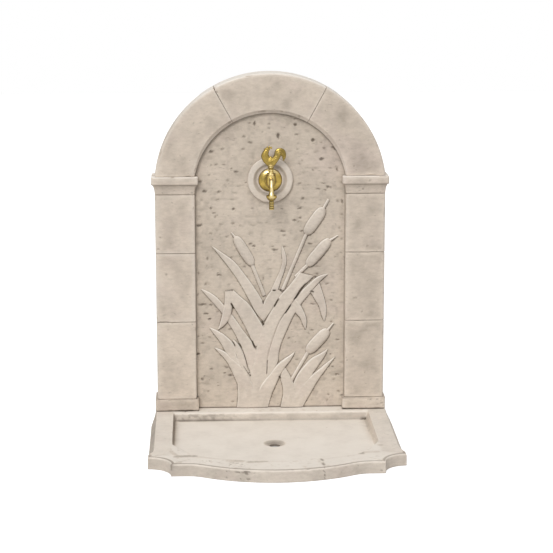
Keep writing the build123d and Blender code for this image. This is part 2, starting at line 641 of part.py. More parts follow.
# Tap body: shank, neck, valve chamber and a spout that turns down to a threaded end
SHANK_END = -(FRAME_DEPTH - FRAME_PROUD - SHANK_END_GAP)
VALVE_RADIUS = VALVE_DIAMETER / 2
SPOUT_RADIUS = SPOUT_DIAMETER / 2
SPOUT_THREAD_RADIUS = SPOUT_THREAD_DIAMETER / 2
BEND_BACK = SPOUT_FORWARD - SPOUT_BEND
BEND_LOW = SPOUT_RISE - SPOUT_BEND
INLET_END = VALVE_REACH + RISER_BORE / 2 + INLET_OVERRUN
OUTLET_START = VALVE_REACH + (RISER_BORE + CHAMBER_BORE) / 4
with BuildPart() as tap_body:
    with BuildSketch(TAP_SIDE):
        with BuildLine():
            Polyline(
                (SHANK_END, 0),
                (SHANK_END, INLET_DIAMETER / 2),
                (SHANK_END + INLET_LENGTH, INLET_DIAMETER / 2),
                (SHANK_END + INLET_LENGTH, SHANK_RADIUS),
                (SHOULDER_BACK, SHANK_RADIUS),
                (SHOULDER_BACK, SHOULDER_DIAMETER / 2),
                (SHOULDER_BACK + SHOULDER_THICKNESS, SHOULDER_DIAMETER / 2),
                (SHOULDER_BACK + SHOULDER_THICKNESS, NECK_DIAMETER / 2),
                (VALVE_REACH, NECK_DIAMETER / 2),
                (VALVE_REACH, 0),
                close=True,
            )
        make_face()
    revolve(axis=TAP_AXIS)
    with BuildSketch(TAP_SIDE):
        with BuildLine():
            Polyline(
                (VALVE_REACH, -VALVE_RADIUS),
                (VALVE_REACH, VALVE_TOP),
                (VALVE_REACH + VALVE_RADIUS, VALVE_TOP),
                (VALVE_REACH + VALVE_RADIUS, 0),
            )
            CenterArc((VALVE_REACH, 0), VALVE_RADIUS, 270, 90)
        make_face()
    revolve(axis=VALVE_AXIS)
    with BuildLine(TAP_SIDE) as spout_path:
        Line((VALVE_REACH, SPOUT_RISE), (BEND_BACK, SPOUT_RISE))
        CenterArc((BEND_BACK, BEND_LOW), SPOUT_BEND, 0, 90)
        Line((SPOUT_FORWARD, BEND_LOW), (SPOUT_FORWARD, SPOUT_FLARE_TOP))
    with BuildSketch(facing(VALVE_Y)):
        with Locations((0, TAP_Z + SPOUT_RISE)):
            Circle(SPOUT_RADIUS)
    sweep(path=spout_path.wires()[0])
    with BuildSketch(TAP_SIDE):
        with BuildLine():
            Polyline(
                (SPOUT_FORWARD, SPOUT_FLARE_TOP),
                (SPOUT_FORWARD, SPOUT_END),
                (SPOUT_FORWARD + SPOUT_THREAD_RADIUS, SPOUT_END),
                (SPOUT_FORWARD + SPOUT_THREAD_RADIUS, SPOUT_THREAD_TOP),
                (SPOUT_FORWARD + SPOUT_RADIUS, SPOUT_FLARE_TOP),
                close=True,
            )
        make_face()
    revolve(axis=SPOUT_AXIS)
    # Water way: inlet, riser, chamber and spout bore
    with BuildSketch(TAP_SIDE):
        with BuildLine():
            Polyline(
                (SHANK_END, 0),
                (SHANK_END, INLET_BORE / 2),
                (INLET_END, INLET_BORE / 2),
                (INLET_END, 0),
                close=True,
            )
        make_face()
    revolve(axis=TAP_AXIS, mode=Mode.SUBTRACT)
    with BuildSketch(level(TAP_Z, 0, VALVE_Y)):
        Circle(RISER_BORE / 2)
    extrude(amount=VALVE_TOP, mode=Mode.SUBTRACT)
    with BuildSketch(level(TAP_Z + CHAMBER_FLOOR, 0, VALVE_Y)):
        Circle(CHAMBER_BORE / 2)
    extrude(amount=VALVE_TOP, mode=Mode.SUBTRACT)
    with BuildLine(TAP_SIDE) as water_path:
        Line((OUTLET_START, SPOUT_RISE), (BEND_BACK, SPOUT_RISE))
        CenterArc((BEND_BACK, BEND_LOW), SPOUT_BEND, 0, 90)
        Line((SPOUT_FORWARD, BEND_LOW), (SPOUT_FORWARD, SPOUT_END))
    with BuildSketch(facing(FIELD_Y - OUTLET_START)):
        with Locations((0, TAP_Z + SPOUT_RISE)):
            Circle(SPOUT_BORE / 2)
    sweep(path=water_path.wires()[0], mode=Mode.SUBTRACT)
hand_over(tap_body, "tap_body")

# Lock washer and lock nut that clamp the tap from behind the panel
with BuildPart() as lock_washer:
    with BuildSketch(facing(PANEL_BACK_Y + WASHER_THICKNESS)):
        with Locations((0, TAP_Z)):
            Circle(LOCK_WASHER_DIAMETER / 2)
            Circle(SHANK_RADIUS + SLIP_FIT, mode=Mode.SUBTRACT)
    extrude(amount=WASHER_THICKNESS)
hand_over(lock_washer, "lock_washer")

with BuildPart() as lock_nut:
    with BuildSketch(facing(PANEL_BACK_Y + WASHER_THICKNESS + LOCK_NUT_THICKNESS)):
        with Locations((0, TAP_Z)):
            RegularPolygon(LOCK_NUT_FLATS / 2, 6, major_radius=False)
            Circle(SHANK_RADIUS + THREAD_FIT, mode=Mode.SUBTRACT)
    extrude(amount=LOCK_NUT_THICKNESS)
hand_over(lock_nut, "lock_nut")

# Ceramic discs: two ports each, crossed when the tap is shut
FIXED_DISC_Z = TAP_Z + CHAMBER_FLOOR
MOVING_DISC_Z = FIXED_DISC_Z + DISC_THICKNESS
DISC_TOP_Z = MOVING_DISC_Z + DISC_THICKNESS
SHUT_TURN = 90


def ported_disc(turn):
    """Disc with two opposite ports, turned about its middle."""
    half = DISC_PORT_ANGLE / 2
    with BuildSketch() as port:
        with BuildLine():
            CenterArc((0, 0), DISC_PORT_RADIUS, -half, DISC_PORT_ANGLE)
            CenterArc((0, 0), DISC_PORT_HUB, -half, DISC_PORT_ANGLE)
            for angle in (-half, half):
                ray = Vector(cos(radians(angle)), sin(radians(angle)))
                Line(ray * DISC_PORT_HUB, ray * DISC_PORT_RADIUS)
        make_face()
    with BuildSketch() as disc:
        Circle(DISC_DIAMETER / 2)
        with PolarLocations(0, 2, start_angle=turn):
            add(port.sketch, mode=Mode.SUBTRACT)
    return disc.sketch


with BuildPart() as fixed_disc:
    with BuildSketch(level(FIXED_DISC_Z, 0, VALVE_Y)):
        add(ported_disc(0))
    extrude(amount=DISC_THICKNESS)
hand_over(fixed_disc, "fixed_disc")

with BuildPart() as moving_disc:
    with BuildSketch(level(MOVING_DISC_Z, 0, VALVE_Y)):
        add(ported_disc(SHUT_TURN))
    extrude(amount=DISC_THICKNESS)
    with BuildSketch(level(DISC_TOP_Z - TANG_ENTRY, 0, VALVE_Y)):
        Rectangle(TANG_LENGTH + 2 * RUNNING_FIT, TANG_WIDTH + 2 * RUNNING_FIT)
    extrude(amount=TANG_ENTRY, mode=Mode.SUBTRACT)
hand_over(moving_disc, "moving_disc")

# Bonnet: a hexagon with a threaded skirt below and a round gland above
BODY_TOP_Z = TAP_Z + VALVE_TOP
BONNET_FOOT_Z = BODY_TOP_Z - BONNET_SKIRT
GLAND_FOOT_Z = BODY_TOP_Z + BONNET_HEX_HEIGHT
GLAND_TOP_Z = GLAND_FOOT_Z + GLAND_HEIGHT
SPINDLE_RADIUS = SPINDLE_DIAMETER / 2
COLLAR_RADIUS = SPINDLE_COLLAR_DIAMETER / 2
COLLAR_ROOM = SPINDLE_COLLAR_THICKNESS + SPINDLE_END_PLAY
with BuildPart() as bonnet:
    with BuildSketch(level(BODY_TOP_Z, 0, VALVE_Y)):
        RegularPolygon(BONNET_FLATS / 2, 6, major_radius=False)
    extrude(amount=BONNET_HEX_HEIGHT)
    with BuildSketch(level(BONNET_FOOT_Z, 0, VALVE_Y)):
        Circle(CHAMBER_BORE / 2 - THREAD_FIT)
    extrude(amount=BONNET_SKIRT)
    with BuildSketch(level(GLAND_FOOT_Z, 0, VALVE_Y)):
        Circle(GLAND_DIAMETER / 2)
    extrude(amount=GLAND_HEIGHT)
    chamfer(bonnet.faces().sort_by(Axis.Z)[-1].edges(), JOINT_BEVEL)
    with BuildSketch(level(BONNET_FOOT_Z, 0, VALVE_Y)):
        Circle(SPINDLE_RADIUS + RUNNING_FIT)
    extrude(amount=GLAND_TOP_Z - BONNET_FOOT_Z, mode=Mode.SUBTRACT)
    with BuildSketch(level(BONNET_FOOT_Z, 0, VALVE_Y)):
        Circle(COLLAR_RADIUS + SLIP_FIT)
    extrude(amount=COLLAR_ROOM, mode=Mode.SUBTRACT)
hand_over(bonnet, "bonnet")

# Spindle: a stem with a collar under the bonnet, a tang below and a groove for its ring
HUB_FOOT_Z = GLAND_TOP_Z + HANDLE_GAP
SPINDLE_TOP_Z = HUB_FOOT_Z + SOCKET_DEPTH
GROOVE_Z = GLAND_TOP_Z - O_RING_BELOW_TOP
GROOVE_RADIUS = SPINDLE_RADIUS - O_RING_GROOVE_DEPTH
with BuildPart() as spindle:
    with BuildSketch(level(BONNET_FOOT_Z, 0, VALVE_Y)):
        Circle(SPINDLE_RADIUS)
    extrude(amount=SPINDLE_TOP_Z - BONNET_FOOT_Z)
    with BuildSketch(level(BONNET_FOOT_Z, 0, VALVE_Y)):
        Circle(COLLAR_RADIUS)
    extrude(amount=SPINDLE_COLLAR_THICKNESS)
    with BuildSketch(level(DISC_TOP_Z - TANG_ENTRY, 0, VALVE_Y)):
        Rectangle(TANG_LENGTH, TANG_WIDTH)
    extrude(amount=BONNET_FOOT_Z - DISC_TOP_Z + TANG_ENTRY)
    with BuildSketch(level(GROOVE_Z - O_RING_GROOVE_WIDTH / 2, 0, VALVE_Y)):
        Circle(SPINDLE_RADIUS)
        Circle(GROOVE_RADIUS, mode=Mode.SUBTRACT)
    extrude(amount=O_RING_GROOVE_WIDTH, mode=Mode.SUBTRACT)
hand_over(spindle, "spindle")

with BuildPart() as stem_o_ring:
    with Locations(level(GROOVE_Z, 0, VALVE_Y)):
        Torus(SPINDLE_RADIUS - O_RING_GROOVE_DEPTH / 2, O_RING_SECTION / 2)
hand_over(stem_o_ring, "stem_o_ring")

# Rooster handle: a cast figure on a hub that sits on the spindle, held by a grub screw
HUB_TOP_Z = HUB_FOOT_Z + HUB_HEIGHT
HUB_RADIUS = HUB_DIAMETER / 2
ROOSTER_FOOT_Z = HUB_TOP_Z - ROOSTER_SINK
SCREW_Z = HUB_FOOT_Z + HANDLE_SCREW_HEIGHT


def rooster_figure():
    """Side view of a standing rooster that faces left, from its foot up."""
    foot_right, crook, tail_tip = (6.5, 0), (25.0, 24.5), (32.0, 16.0)
    comb_back, comb_front = (1.5, 45.5), (-11.5, 47.5)
    beak, throat, foot_left = (-19.5, 43.5), (-15.0, 41.0), (-6.5, 0)
    with BuildSketch() as figure:
        with BuildLine():
            Spline(foot_right, (13, 10), (20, 20), crook)
            Spline(crook, (29, 22), tail_tip)
            Spline(
                tail_tip, (37.5, 22), (38, 32), (31, 43), (21, 46.5), (13, 43), (9.5, 35),
                (7, 28.5), (1.5, 25.5), (-4, 28.5), (-6, 35), (-4, 41), comb_back,
            )
            Polyline(
                comb_back, (2.5, 50.5), (-1.5, 48.8), (-2.5, 53), (-6.5, 50), (-9.5, 52), comb_front)
            Polyline(comb_front, beak, throat)
            Spline(throat, (-22, 36), (-25.5, 28), (-22, 15), (-13, 6.5), foot_left)
            Line(foot_left, foot_right)
        make_face()
    return figure.sketch


with BuildPart() as rooster_handle:
    with BuildSketch(facing(VALVE_Y + ROOSTER_THICKNESS / 2)):
        with Locations((0, ROOSTER_FOOT_Z)):
            add(rooster_figure())
    extrude(amount=ROOSTER_THICKNESS)
    with BuildSketch(level(HUB_FOOT_Z, 0, VALVE_Y)):
        Circle(HUB_RADIUS)
    extrude(amount=HUB_HEIGHT)
    with BuildSketch(level(HUB_FOOT_Z, 0, VALVE_Y)):
        Circle(SPINDLE_RADIUS + RUNNING_FIT)
    extrude(amount=SOCKET_DEPTH, mode=Mode.SUBTRACT)
    with BuildSketch(facing(VALVE_Y + HUB_RADIUS)):
        with Locations((0, SCREW_Z)):
            Circle(HANDLE_SCREW_DIAMETER / 2 + RUNNING_FIT)
    extrude(amount=HUB_RADIUS, mode=Mode.SUBTRACT)
hand_over(rooster_handle, "rooster_handle")

with BuildPart() as handle_screw:
    with BuildSketch(facing(VALVE_Y + HUB_RADIUS)):
        with Locations((0, SCREW_Z)):
            Circle(HANDLE_SCREW_DIAMETER / 2)
    extrude(amount=HUB_RADIUS - SPINDLE_RADIUS)
hand_over(handle_screw, "handle_screw")

# Hose connector: a union nut that draws the tail and its washer against the spout
SPOUT_Y = FIELD_Y - SPOUT_FORWARD
SPOUT_END_Z = TAP_Z + SPOUT_END
HOSE_FLANGE_TOP_Z = SPOUT_END_Z - HOSE_WASHER_THICKNESS
NUT_LEDGE_Z = HOSE_FLANGE_TOP_Z - HOSE_FLANGE_THICKNESS
HOSE_RADIUS = HOSE_TAIL_DIAMETER / 2
HOSE_END_Z = NUT_LEDGE_Z - HOSE_TAIL_LENGTH
HOSE_FLANGE_RADIUS = SPOUT_THREAD_RADIUS - SLIP_FIT
with BuildPart() as hose_washer:
    with BuildSketch(level(HOSE_FLANGE_TOP_Z, 0, SPOUT_Y)):
        Circle(HOSE_FLANGE_RADIUS)
        Circle(HOSE_TAIL_BORE / 2, mode=Mode.SUBTRACT)
    extrude(amount=HOSE_WASHER_THICKNESS)
hand_over(hose_washer, "hose_washer")

with BuildPart() as hose_tail:
    with BuildSketch(level(NUT_LEDGE_Z, 0, SPOUT_Y)):
        Circle(HOSE_FLANGE_RADIUS)
    extrude(amount=HOSE_FLANGE_THICKNESS)
    with BuildSketch(level(HOSE_END_Z, 0, SPOUT_Y)):
        Circle(HOSE_RADIUS)
    extrude(amount=HOSE_TAIL_LENGTH)
    # Grooves between the ribs, and a neck from the last rib up to the flange
    for rib in range(HOSE_TAIL_GROOVES + 1):
        groove_z = HOSE_END_Z + HOSE_TAIL_RIB + rib * HOSE_TAIL_PITCH
        groove_top = groove_z + HOSE_TAIL_PITCH - HOSE_TAIL_RIB
        if rib == HOSE_TAIL_GROOVES:
            groove_top = NUT_LEDGE_Z
        with BuildSketch(level(groove_z, 0, SPOUT_Y)):
            Circle(HOSE_RADIUS)
            Circle(HOSE_RADIUS - HOSE_GROOVE_DEPTH, mode=Mode.SUBTRACT)
        extrude(amount=groove_top - groove_z, mode=Mode.SUBTRACT)
    with BuildSketch(level(HOSE_END_Z, 0, SPOUT_Y)):
        Circle(HOSE_TAIL_BORE / 2)
    extrude(amount=SPOUT_END_Z - HOSE_END_Z, mode=Mode.SUBTRACT)
hand_over(hose_tail, "hose_tail")

with BuildPart() as union_nut:
    with BuildSketch(TAP_SIDE):
        nut_top = SPOUT_THREAD_TOP
        nut_foot = nut_top - UNION_NUT_HEIGHT
        ledge = NUT_LEDGE_Z - TAP_Z
        with BuildLine():
            Polyline(
                (SPOUT_FORWARD + SPOUT_THREAD_RADIUS + THREAD_FIT, nut_top),
                (SPOUT_FORWARD + UNION_NUT_DIAMETER / 2, nut_top),
                (SPOUT_FORWARD + UNION_NUT_DIAMETER / 2, nut_top - UNION_NUT_BAND),
                (SPOUT_FORWARD + UNION_NUT_END_DIAMETER / 2, nut_foot),
                (SPOUT_FORWARD + HOSE_RADIUS + SLIP_FIT, nut_foot),
                (SPOUT_FORWARD + HOSE_RADIUS + SLIP_FIT, ledge),
                (SPOUT_FORWARD + SPOUT_THREAD_RADIUS + THREAD_FIT, ledge),
                close=True,
            )
        make_face()
    revolve(axis=SPOUT_AXIS)
hand_over(union_nut, "union_nut")
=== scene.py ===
import math

import bmesh
import bpy
import numpy as np
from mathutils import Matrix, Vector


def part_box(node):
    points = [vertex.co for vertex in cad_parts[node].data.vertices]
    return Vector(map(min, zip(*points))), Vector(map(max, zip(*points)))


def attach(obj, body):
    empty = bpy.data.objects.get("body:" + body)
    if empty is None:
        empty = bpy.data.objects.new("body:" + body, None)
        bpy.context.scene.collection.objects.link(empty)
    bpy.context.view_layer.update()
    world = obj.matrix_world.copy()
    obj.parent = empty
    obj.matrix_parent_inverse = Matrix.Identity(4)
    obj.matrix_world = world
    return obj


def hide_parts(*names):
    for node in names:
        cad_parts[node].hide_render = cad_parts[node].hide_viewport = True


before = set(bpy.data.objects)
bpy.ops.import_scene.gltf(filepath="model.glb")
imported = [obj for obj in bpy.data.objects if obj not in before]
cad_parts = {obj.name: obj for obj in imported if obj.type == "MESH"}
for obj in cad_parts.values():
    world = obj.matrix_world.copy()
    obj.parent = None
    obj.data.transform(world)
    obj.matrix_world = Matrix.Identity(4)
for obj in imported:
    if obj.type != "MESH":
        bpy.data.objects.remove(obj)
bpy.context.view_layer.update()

bl_info = {
    "name": "Garden fountain dressing",
    "version": (1, 0, 0),
    "blender": (4, 5, 0),
    "location": "View3D > Sidebar > Fountain",
    "description": "Dresses the fountain's solids with weathered cast stone and polished brass",
    "category": "Object",
}

MM = 0.001
FOUNTAIN, HANDLE = "fountain", "handle"
SIDES = (("left", -1.0), ("right", 1.0))


def span(node):
    """Lowest and highest corner of a CAD node in millimetres."""
    low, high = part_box(node)
    return np.array(low) / MM, np.array(high) / MM


# Places shared by the pieces, in millimetres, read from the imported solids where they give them
BASIN_LOW, BASIN_HIGH = span("basin")
RIM_Z = BASIN_HIGH[2]
BACK_Y = BASIN_HIGH[1]
FRONT_Y = BASIN_LOW[1]
FLOOR_Z = 12.0
SHAFT_LOW, SHAFT_HIGH = span("right_lower_block")
INNER_X, OUTER_X = SHAFT_LOW[0], SHAFT_HIGH[0]
SHAFT_FRONT_Y = SHAFT_LOW[1]
REBATE_X = 210.0
PANEL_LOW, PANEL_HIGH = span("back_panel")
FIELD_Y, PANEL_BACK_Y = PANEL_LOW[1], PANEL_HIGH[1]
PANEL_X = PANEL_HIGH[0]
IMPOST_LOW, IMPOST_HIGH = span("right_impost")
SHAFT_TOP_Z, SPRING_Z = IMPOST_LOW[2], IMPOST_HIGH[2]
CAVETTO_HEIGHT = 26.0
PLINTH_STEP, IMPOST_STEP = 5.5, 9.0
CROWN_HALF_ANGLE = 28.8
ARCH_CENTRE_DROP = 36.0
ARCH_Z = SPRING_Z - ARCH_CENTRE_DROP
SPRING_ANGLE = 7.0
TAP_Z = 646.0
VALVE_Y, SPOUT_Y = FIELD_Y - 52.0, FIELD_Y - 88.0
TAP_BASE = (0.0, FIELD_Y, TAP_Z)
VALVE_BASE = (0.0, VALVE_Y, TAP_Z)
SPOUT_BASE = (0.0, SPOUT_Y, TAP_Z)
ROOSTER_FOOT_Z = TAP_Z + 43.0
THREAD_PITCH, THREAD_DEPTH = 1.814, 0.9

# Point of a frame stone's plan that sees the whole plan, where its ends close
STONE_KERNEL = (250.0, 230.0)
# Stones a little darker than the rest, or paler below 0; on the right side this is painted shade
STONE_SOIL_AND_SHADE = {
    "left_plinth": 0.28, "left_lower_block": 0.03, "left_middle_block": -0.05, "right_lower_block": 0.15,
    "right_middle_block": 0.15, "right_upper_block": 0.11, "right_voussoir": 0.07,
}

# Basin: half widths at its back and sides, where the sides splay, scallop, bow and its easing arcs
BASIN_BACK_HALF, BASIN_SIDE_HALF = 306.0, 316.0
SPLAY_BACK_Y, SPLAY_FRONT_Y = 211.5, 151.5
SCALLOP_RADIUS, SCALLOP_Y = 57.0, -236.5
BOW_RADIUS, BOW_EASE = 368.5, 80.0
SIDE_BEVEL_X, SIDE_BEVEL_WIDTH, SIDE_BEVEL_DROP = 303.0, 13.0, 22.0
DRAIN = np.array((0.0, -20.5))
DRAIN_RADIUS, DISH_RADIUS, DISH_LOW_Z = 13.5, 33.0, 6.0
# Pocket at the rim and at the floor: back, left side, right side, y where the canted corner leaves the
# side, x where it meets the bow, radius of the bow
POCKET_MOUTH = (200.5, 258.0, 258.0, -77.0, 206.0, 416.0)
POCKET_FOOT = (187.5, 254.5, 247.0, -58.0, 184.0, 384.0)
POCKET_BOW_Y = 195.0
# Left, right and back edge of the floor, which dirt lies along
FLOOR_LEFT, FLOOR_RIGHT, FLOOR_BACK = -254.0, 247.0, 188.0
# Stretches of the basin's surface that can be seen, in the order of its rings
BORE, DISH, FLOOR, WALL, RIM, ARRIS, OUTSIDE = range(7)
# Takes the basin's level faces off the planes of the noise's lattice
NOISE_SHIFT = np.array((0.0, 0.0, 8.0))

# Relief, in millimetres from the middle of the panel and from the rim up. Leaf: rise, how far its foot
# sinks into the clump, left edge and right edge, both from the foot to the tip
CLUMP_BLADES = (
    (5.2, 0.0, ((1, 318), (13, 345), (26, 374), (32, 399), (30, 422), (31, 440)),
     ((19, 318), (28, 347), (37, 374), (42, 399), (39, 421), (31, 440))),
    (7.0, 0.0, ((-18, 237), (-37, 260), (-56, 296), (-81, 342), (-100, 371), (-155, 442)),
     ((-18, 237), (-8, 265), (-19, 288), (-43, 329), (-62, 356), (-100, 403), (-123, 420), (-155, 442))),
    (7.4, 0.0, ((-18, 237), (-18, 283), (-11, 300), (5, 321)),
     ((-18, 237), (11, 279), (24, 299), (33, 321))),
    (7.4, 0.0,
     ((-11, 85), (-8, 134), (8, 194), (27, 242), (44, 265), (66, 298), (98, 333), (133, 359), (153, 363)),
     ((4, 98), (18, 122), (23, 157), (45, 216), (66, 260), (80, 281), (107, 315), (133, 346), (153, 363))),
    (8.8, 0.4,
     ((-54, 80), (-42, 136), (-29, 199), (-5, 252), (11, 279), (27, 308), (39, 320), (60, 345), (77, 368)),
     ((-11, 85), (-8, 134), (8, 194), (27, 242), (42, 265), (55, 283), (86, 332), (98, 342), (114, 358))),
    (6.4, 0.0, ((107, 315), (116, 298), (129, 276), (135, 255), (143, 235)),
     ((129, 339), (138, 313), (145, 288), (148, 264), (143, 235))),
    (8.6, 0.0, ((56, 284), (66, 261), (79, 245), (86, 228), (93, 214)),
     ((67, 296), (80, 279), (89, 261), (95, 243), (93, 214))),
    (6.6, 0.4,
     ((-54, 80), (-58, 99), (-71, 148), (-93, 203), (-114, 239), (-128, 261), (-154, 292), (-183, 326)),
     ((-29, 83), (-27, 122), (-40, 164), (-74, 215), (-103, 257), (-121, 279), (-142, 303), (-183, 326))),
    (8.0, 0.0, ((-39, 169), (-52, 192), (-61, 212), (-87, 262), (-103, 289), (-120, 319)),
     ((-14, 199), (-21, 225), (-33, 247), (-44, 266), (-58, 285), (-77, 302), (-97, 322))),
    (9.2, 0.0, ((-120, 319), (-120, 301), (-121, 283), (-125, 264), (-130, 243), (-138, 216)),
     ((-97, 322), (-103, 301), (-102, 286), (-103, 262), (-112, 239), (-138, 216))),
    (7.4, 0.3, ((-81, 64), (-98, 108), (-118, 153), (-133, 182), (-146, 200), (-161, 221)),
     ((-54, 64), (-71, 99), (-90, 143), (-98, 176), (-111, 191), (-128, 205), (-161, 221))),
    (8.0, 0.3, ((-65, 64), (-77, 100), (-88, 139), (-98, 176), (-100, 189)),
     ((-43, 52), (-54, 80), (-61, 108), (-70, 145), (-87, 177), (-100, 189))),
    (8.6, 0.3, ((-86, 39), (-87, 64), (-96, 86), (-105, 108), (-116, 129), (-136, 153), (-148, 166)),
     ((-37, 44), (-54, 76), (-82, 119), (-104, 139), (-117, 152), (-133, 161), (-148, 166))),
    (9.2, 0.3, ((-39, 32), (-24, 63), (-3, 91), (11, 110), (30, 128), (49, 141), (65, 152)),
     ((-3, 18), (5, 41), (15, 65), (24, 86), (41, 114), (54, 131), (65, 152))),
)
SPRIG_BLADES = (
    (8.6, 0.3, ((27, 0), (34, 43), (32, 63), (27, 83), (39, 110)),
     ((76, 0), (73, 23), (69, 44), (60, 70), (39, 110))),
    (7.4, 0.3, ((53, 3), (58, 43), (64, 72), (75, 94), (91, 115), (110, 134), (132, 146), (153, 159)),
     ((79, 3), (87, 42), (106, 81), (129, 117), (142, 136), (153, 159))),
    (8.2, 0.3, ((49, 0), (60, 27), (74, 48), (91, 70), (112, 89), (129, 103), (152, 122), (173, 138)),
     ((85, 0), (102, 30), (112, 48), (125, 71), (140, 93), (157, 116), (173, 138))),
)
# Grown-together foot of the leaves: rise, left edge, right edge
CLUMP_TRUNK = (
    7.4, ((-90, 0), (-86, 39), (-87, 64), (-84, 84), (-71, 113)),
    ((-7, 0), (-3, 18), (5, 41), (11, 63), (5, 91)))
SPRIG_TRUNK = (8.8, ((27, 0), (31, 20), (36, 40), (48, 62)), ((85, 0), (94, 18), (100, 36), (88, 62)))
# Bulrush: stem foot, head low, head high, spike tip, head radius, radius of the spike at its tip
CLUMP_HEADS = (
    ((-16, 307), (-46, 388), (-92, 465), (-102, 476), 13.0, 1.4),
    ((33, 322), (93, 470), (141, 539), (153, 562), 15.0, 3.2),
    ((67, 356), (97, 385), (157, 456), (178, 466), 14.0, 1.5),
)
SPRIG_HEADS = (((56, 74), (98, 150), (154, 212), (168, 230), 15.2, 1.6),)
RELIEFS = (
    ("bulrush_clump", CLUMP_BLADES, CLUMP_TRUNK, CLUMP_HEADS),
    ("bulrush_sprig", SPRIG_BLADES, SPRIG_TRUNK, SPRIG_HEADS),
)
SEED_HEAD_RISE = 10.5
STEM_RADIUS, STEM_RISE = 4.4, 5.0
SPIKE_RADIUS, SPIKE_RISE, SPIKE_TIP_RISE = 3.6, 5.0, 3.0
RELIEF_SINK = 4.0
# Deep gaps and seams between leaves, painted dark as shade: two ends and half width
RELIEF_SHADED_SLITS = (
    ((22, 298), (11, 279), 1.9), ((54, 281), (40, 260), 1.9), ((92, 336), (65, 298), 2.4),
    ((-22, 236), (-17, 226), 2.0), ((-48, 183), (-41, 165), 2.2), ((-103, 286), (-96, 272), 2.2),
    ((-82, 177), (-76, 165), 1.6), ((-98, 180), (-94, 172), 1.4), ((24, 86), (26, 82), 2.2),
    ((-20, 292), (-19, 286), 1.4), ((7, 321), (13, 321), 1.6), ((26, 321), (30, 319), 1.6),
    ((114, 316), (108, 318), 2.0), ((-74, 162), (-53, 90), 0.9), ((-72, 117), (-53, 86), 0.8),
    ((-8, 130), (-10, 94), 0.9),
)
# Reach of the relief's height map to each side and up, one millimetre to a cell
MAP_X, MAP_Z = 230, 660

# Marks on the basin's rim: two ends, half width, dirt
MARK_STRENGTH = 1.35
BASIN_MARKS = (
    ((-261, -132), (-248, -166), 9.0, 0.16), ((-246, -176), (-214, -174), 10.0, 0.3),
    ((-203, -175), (-201, -175), 10.0, 0.36), ((-191, -183), (-131, -198), 13.0, 0.1),
    ((-118, -214), (-90, -218), 14.0, 0.16), ((-71, -227), (-32, -224), 10.0, 0.18),
    ((-32, -224), (16, -225), 9.0, 0.08), ((17, -199), (102, -197), 9.0, 0.12),
    ((87, -152), (142, -151), 9.0, 0.08), ((104, -212), (105, -220), 5.5, 0.55),
    ((106, -242), (107, -256), 5.0, 0.5), ((206, -164), (206, -172), 10.0, 0.32),
    ((209, -163), (246, -160), 10.0, 0.13), ((259, -103), (260, -104), 12.0, 0.2),
    ((109, -212), (197, -180), 9.0, 0.06),
)
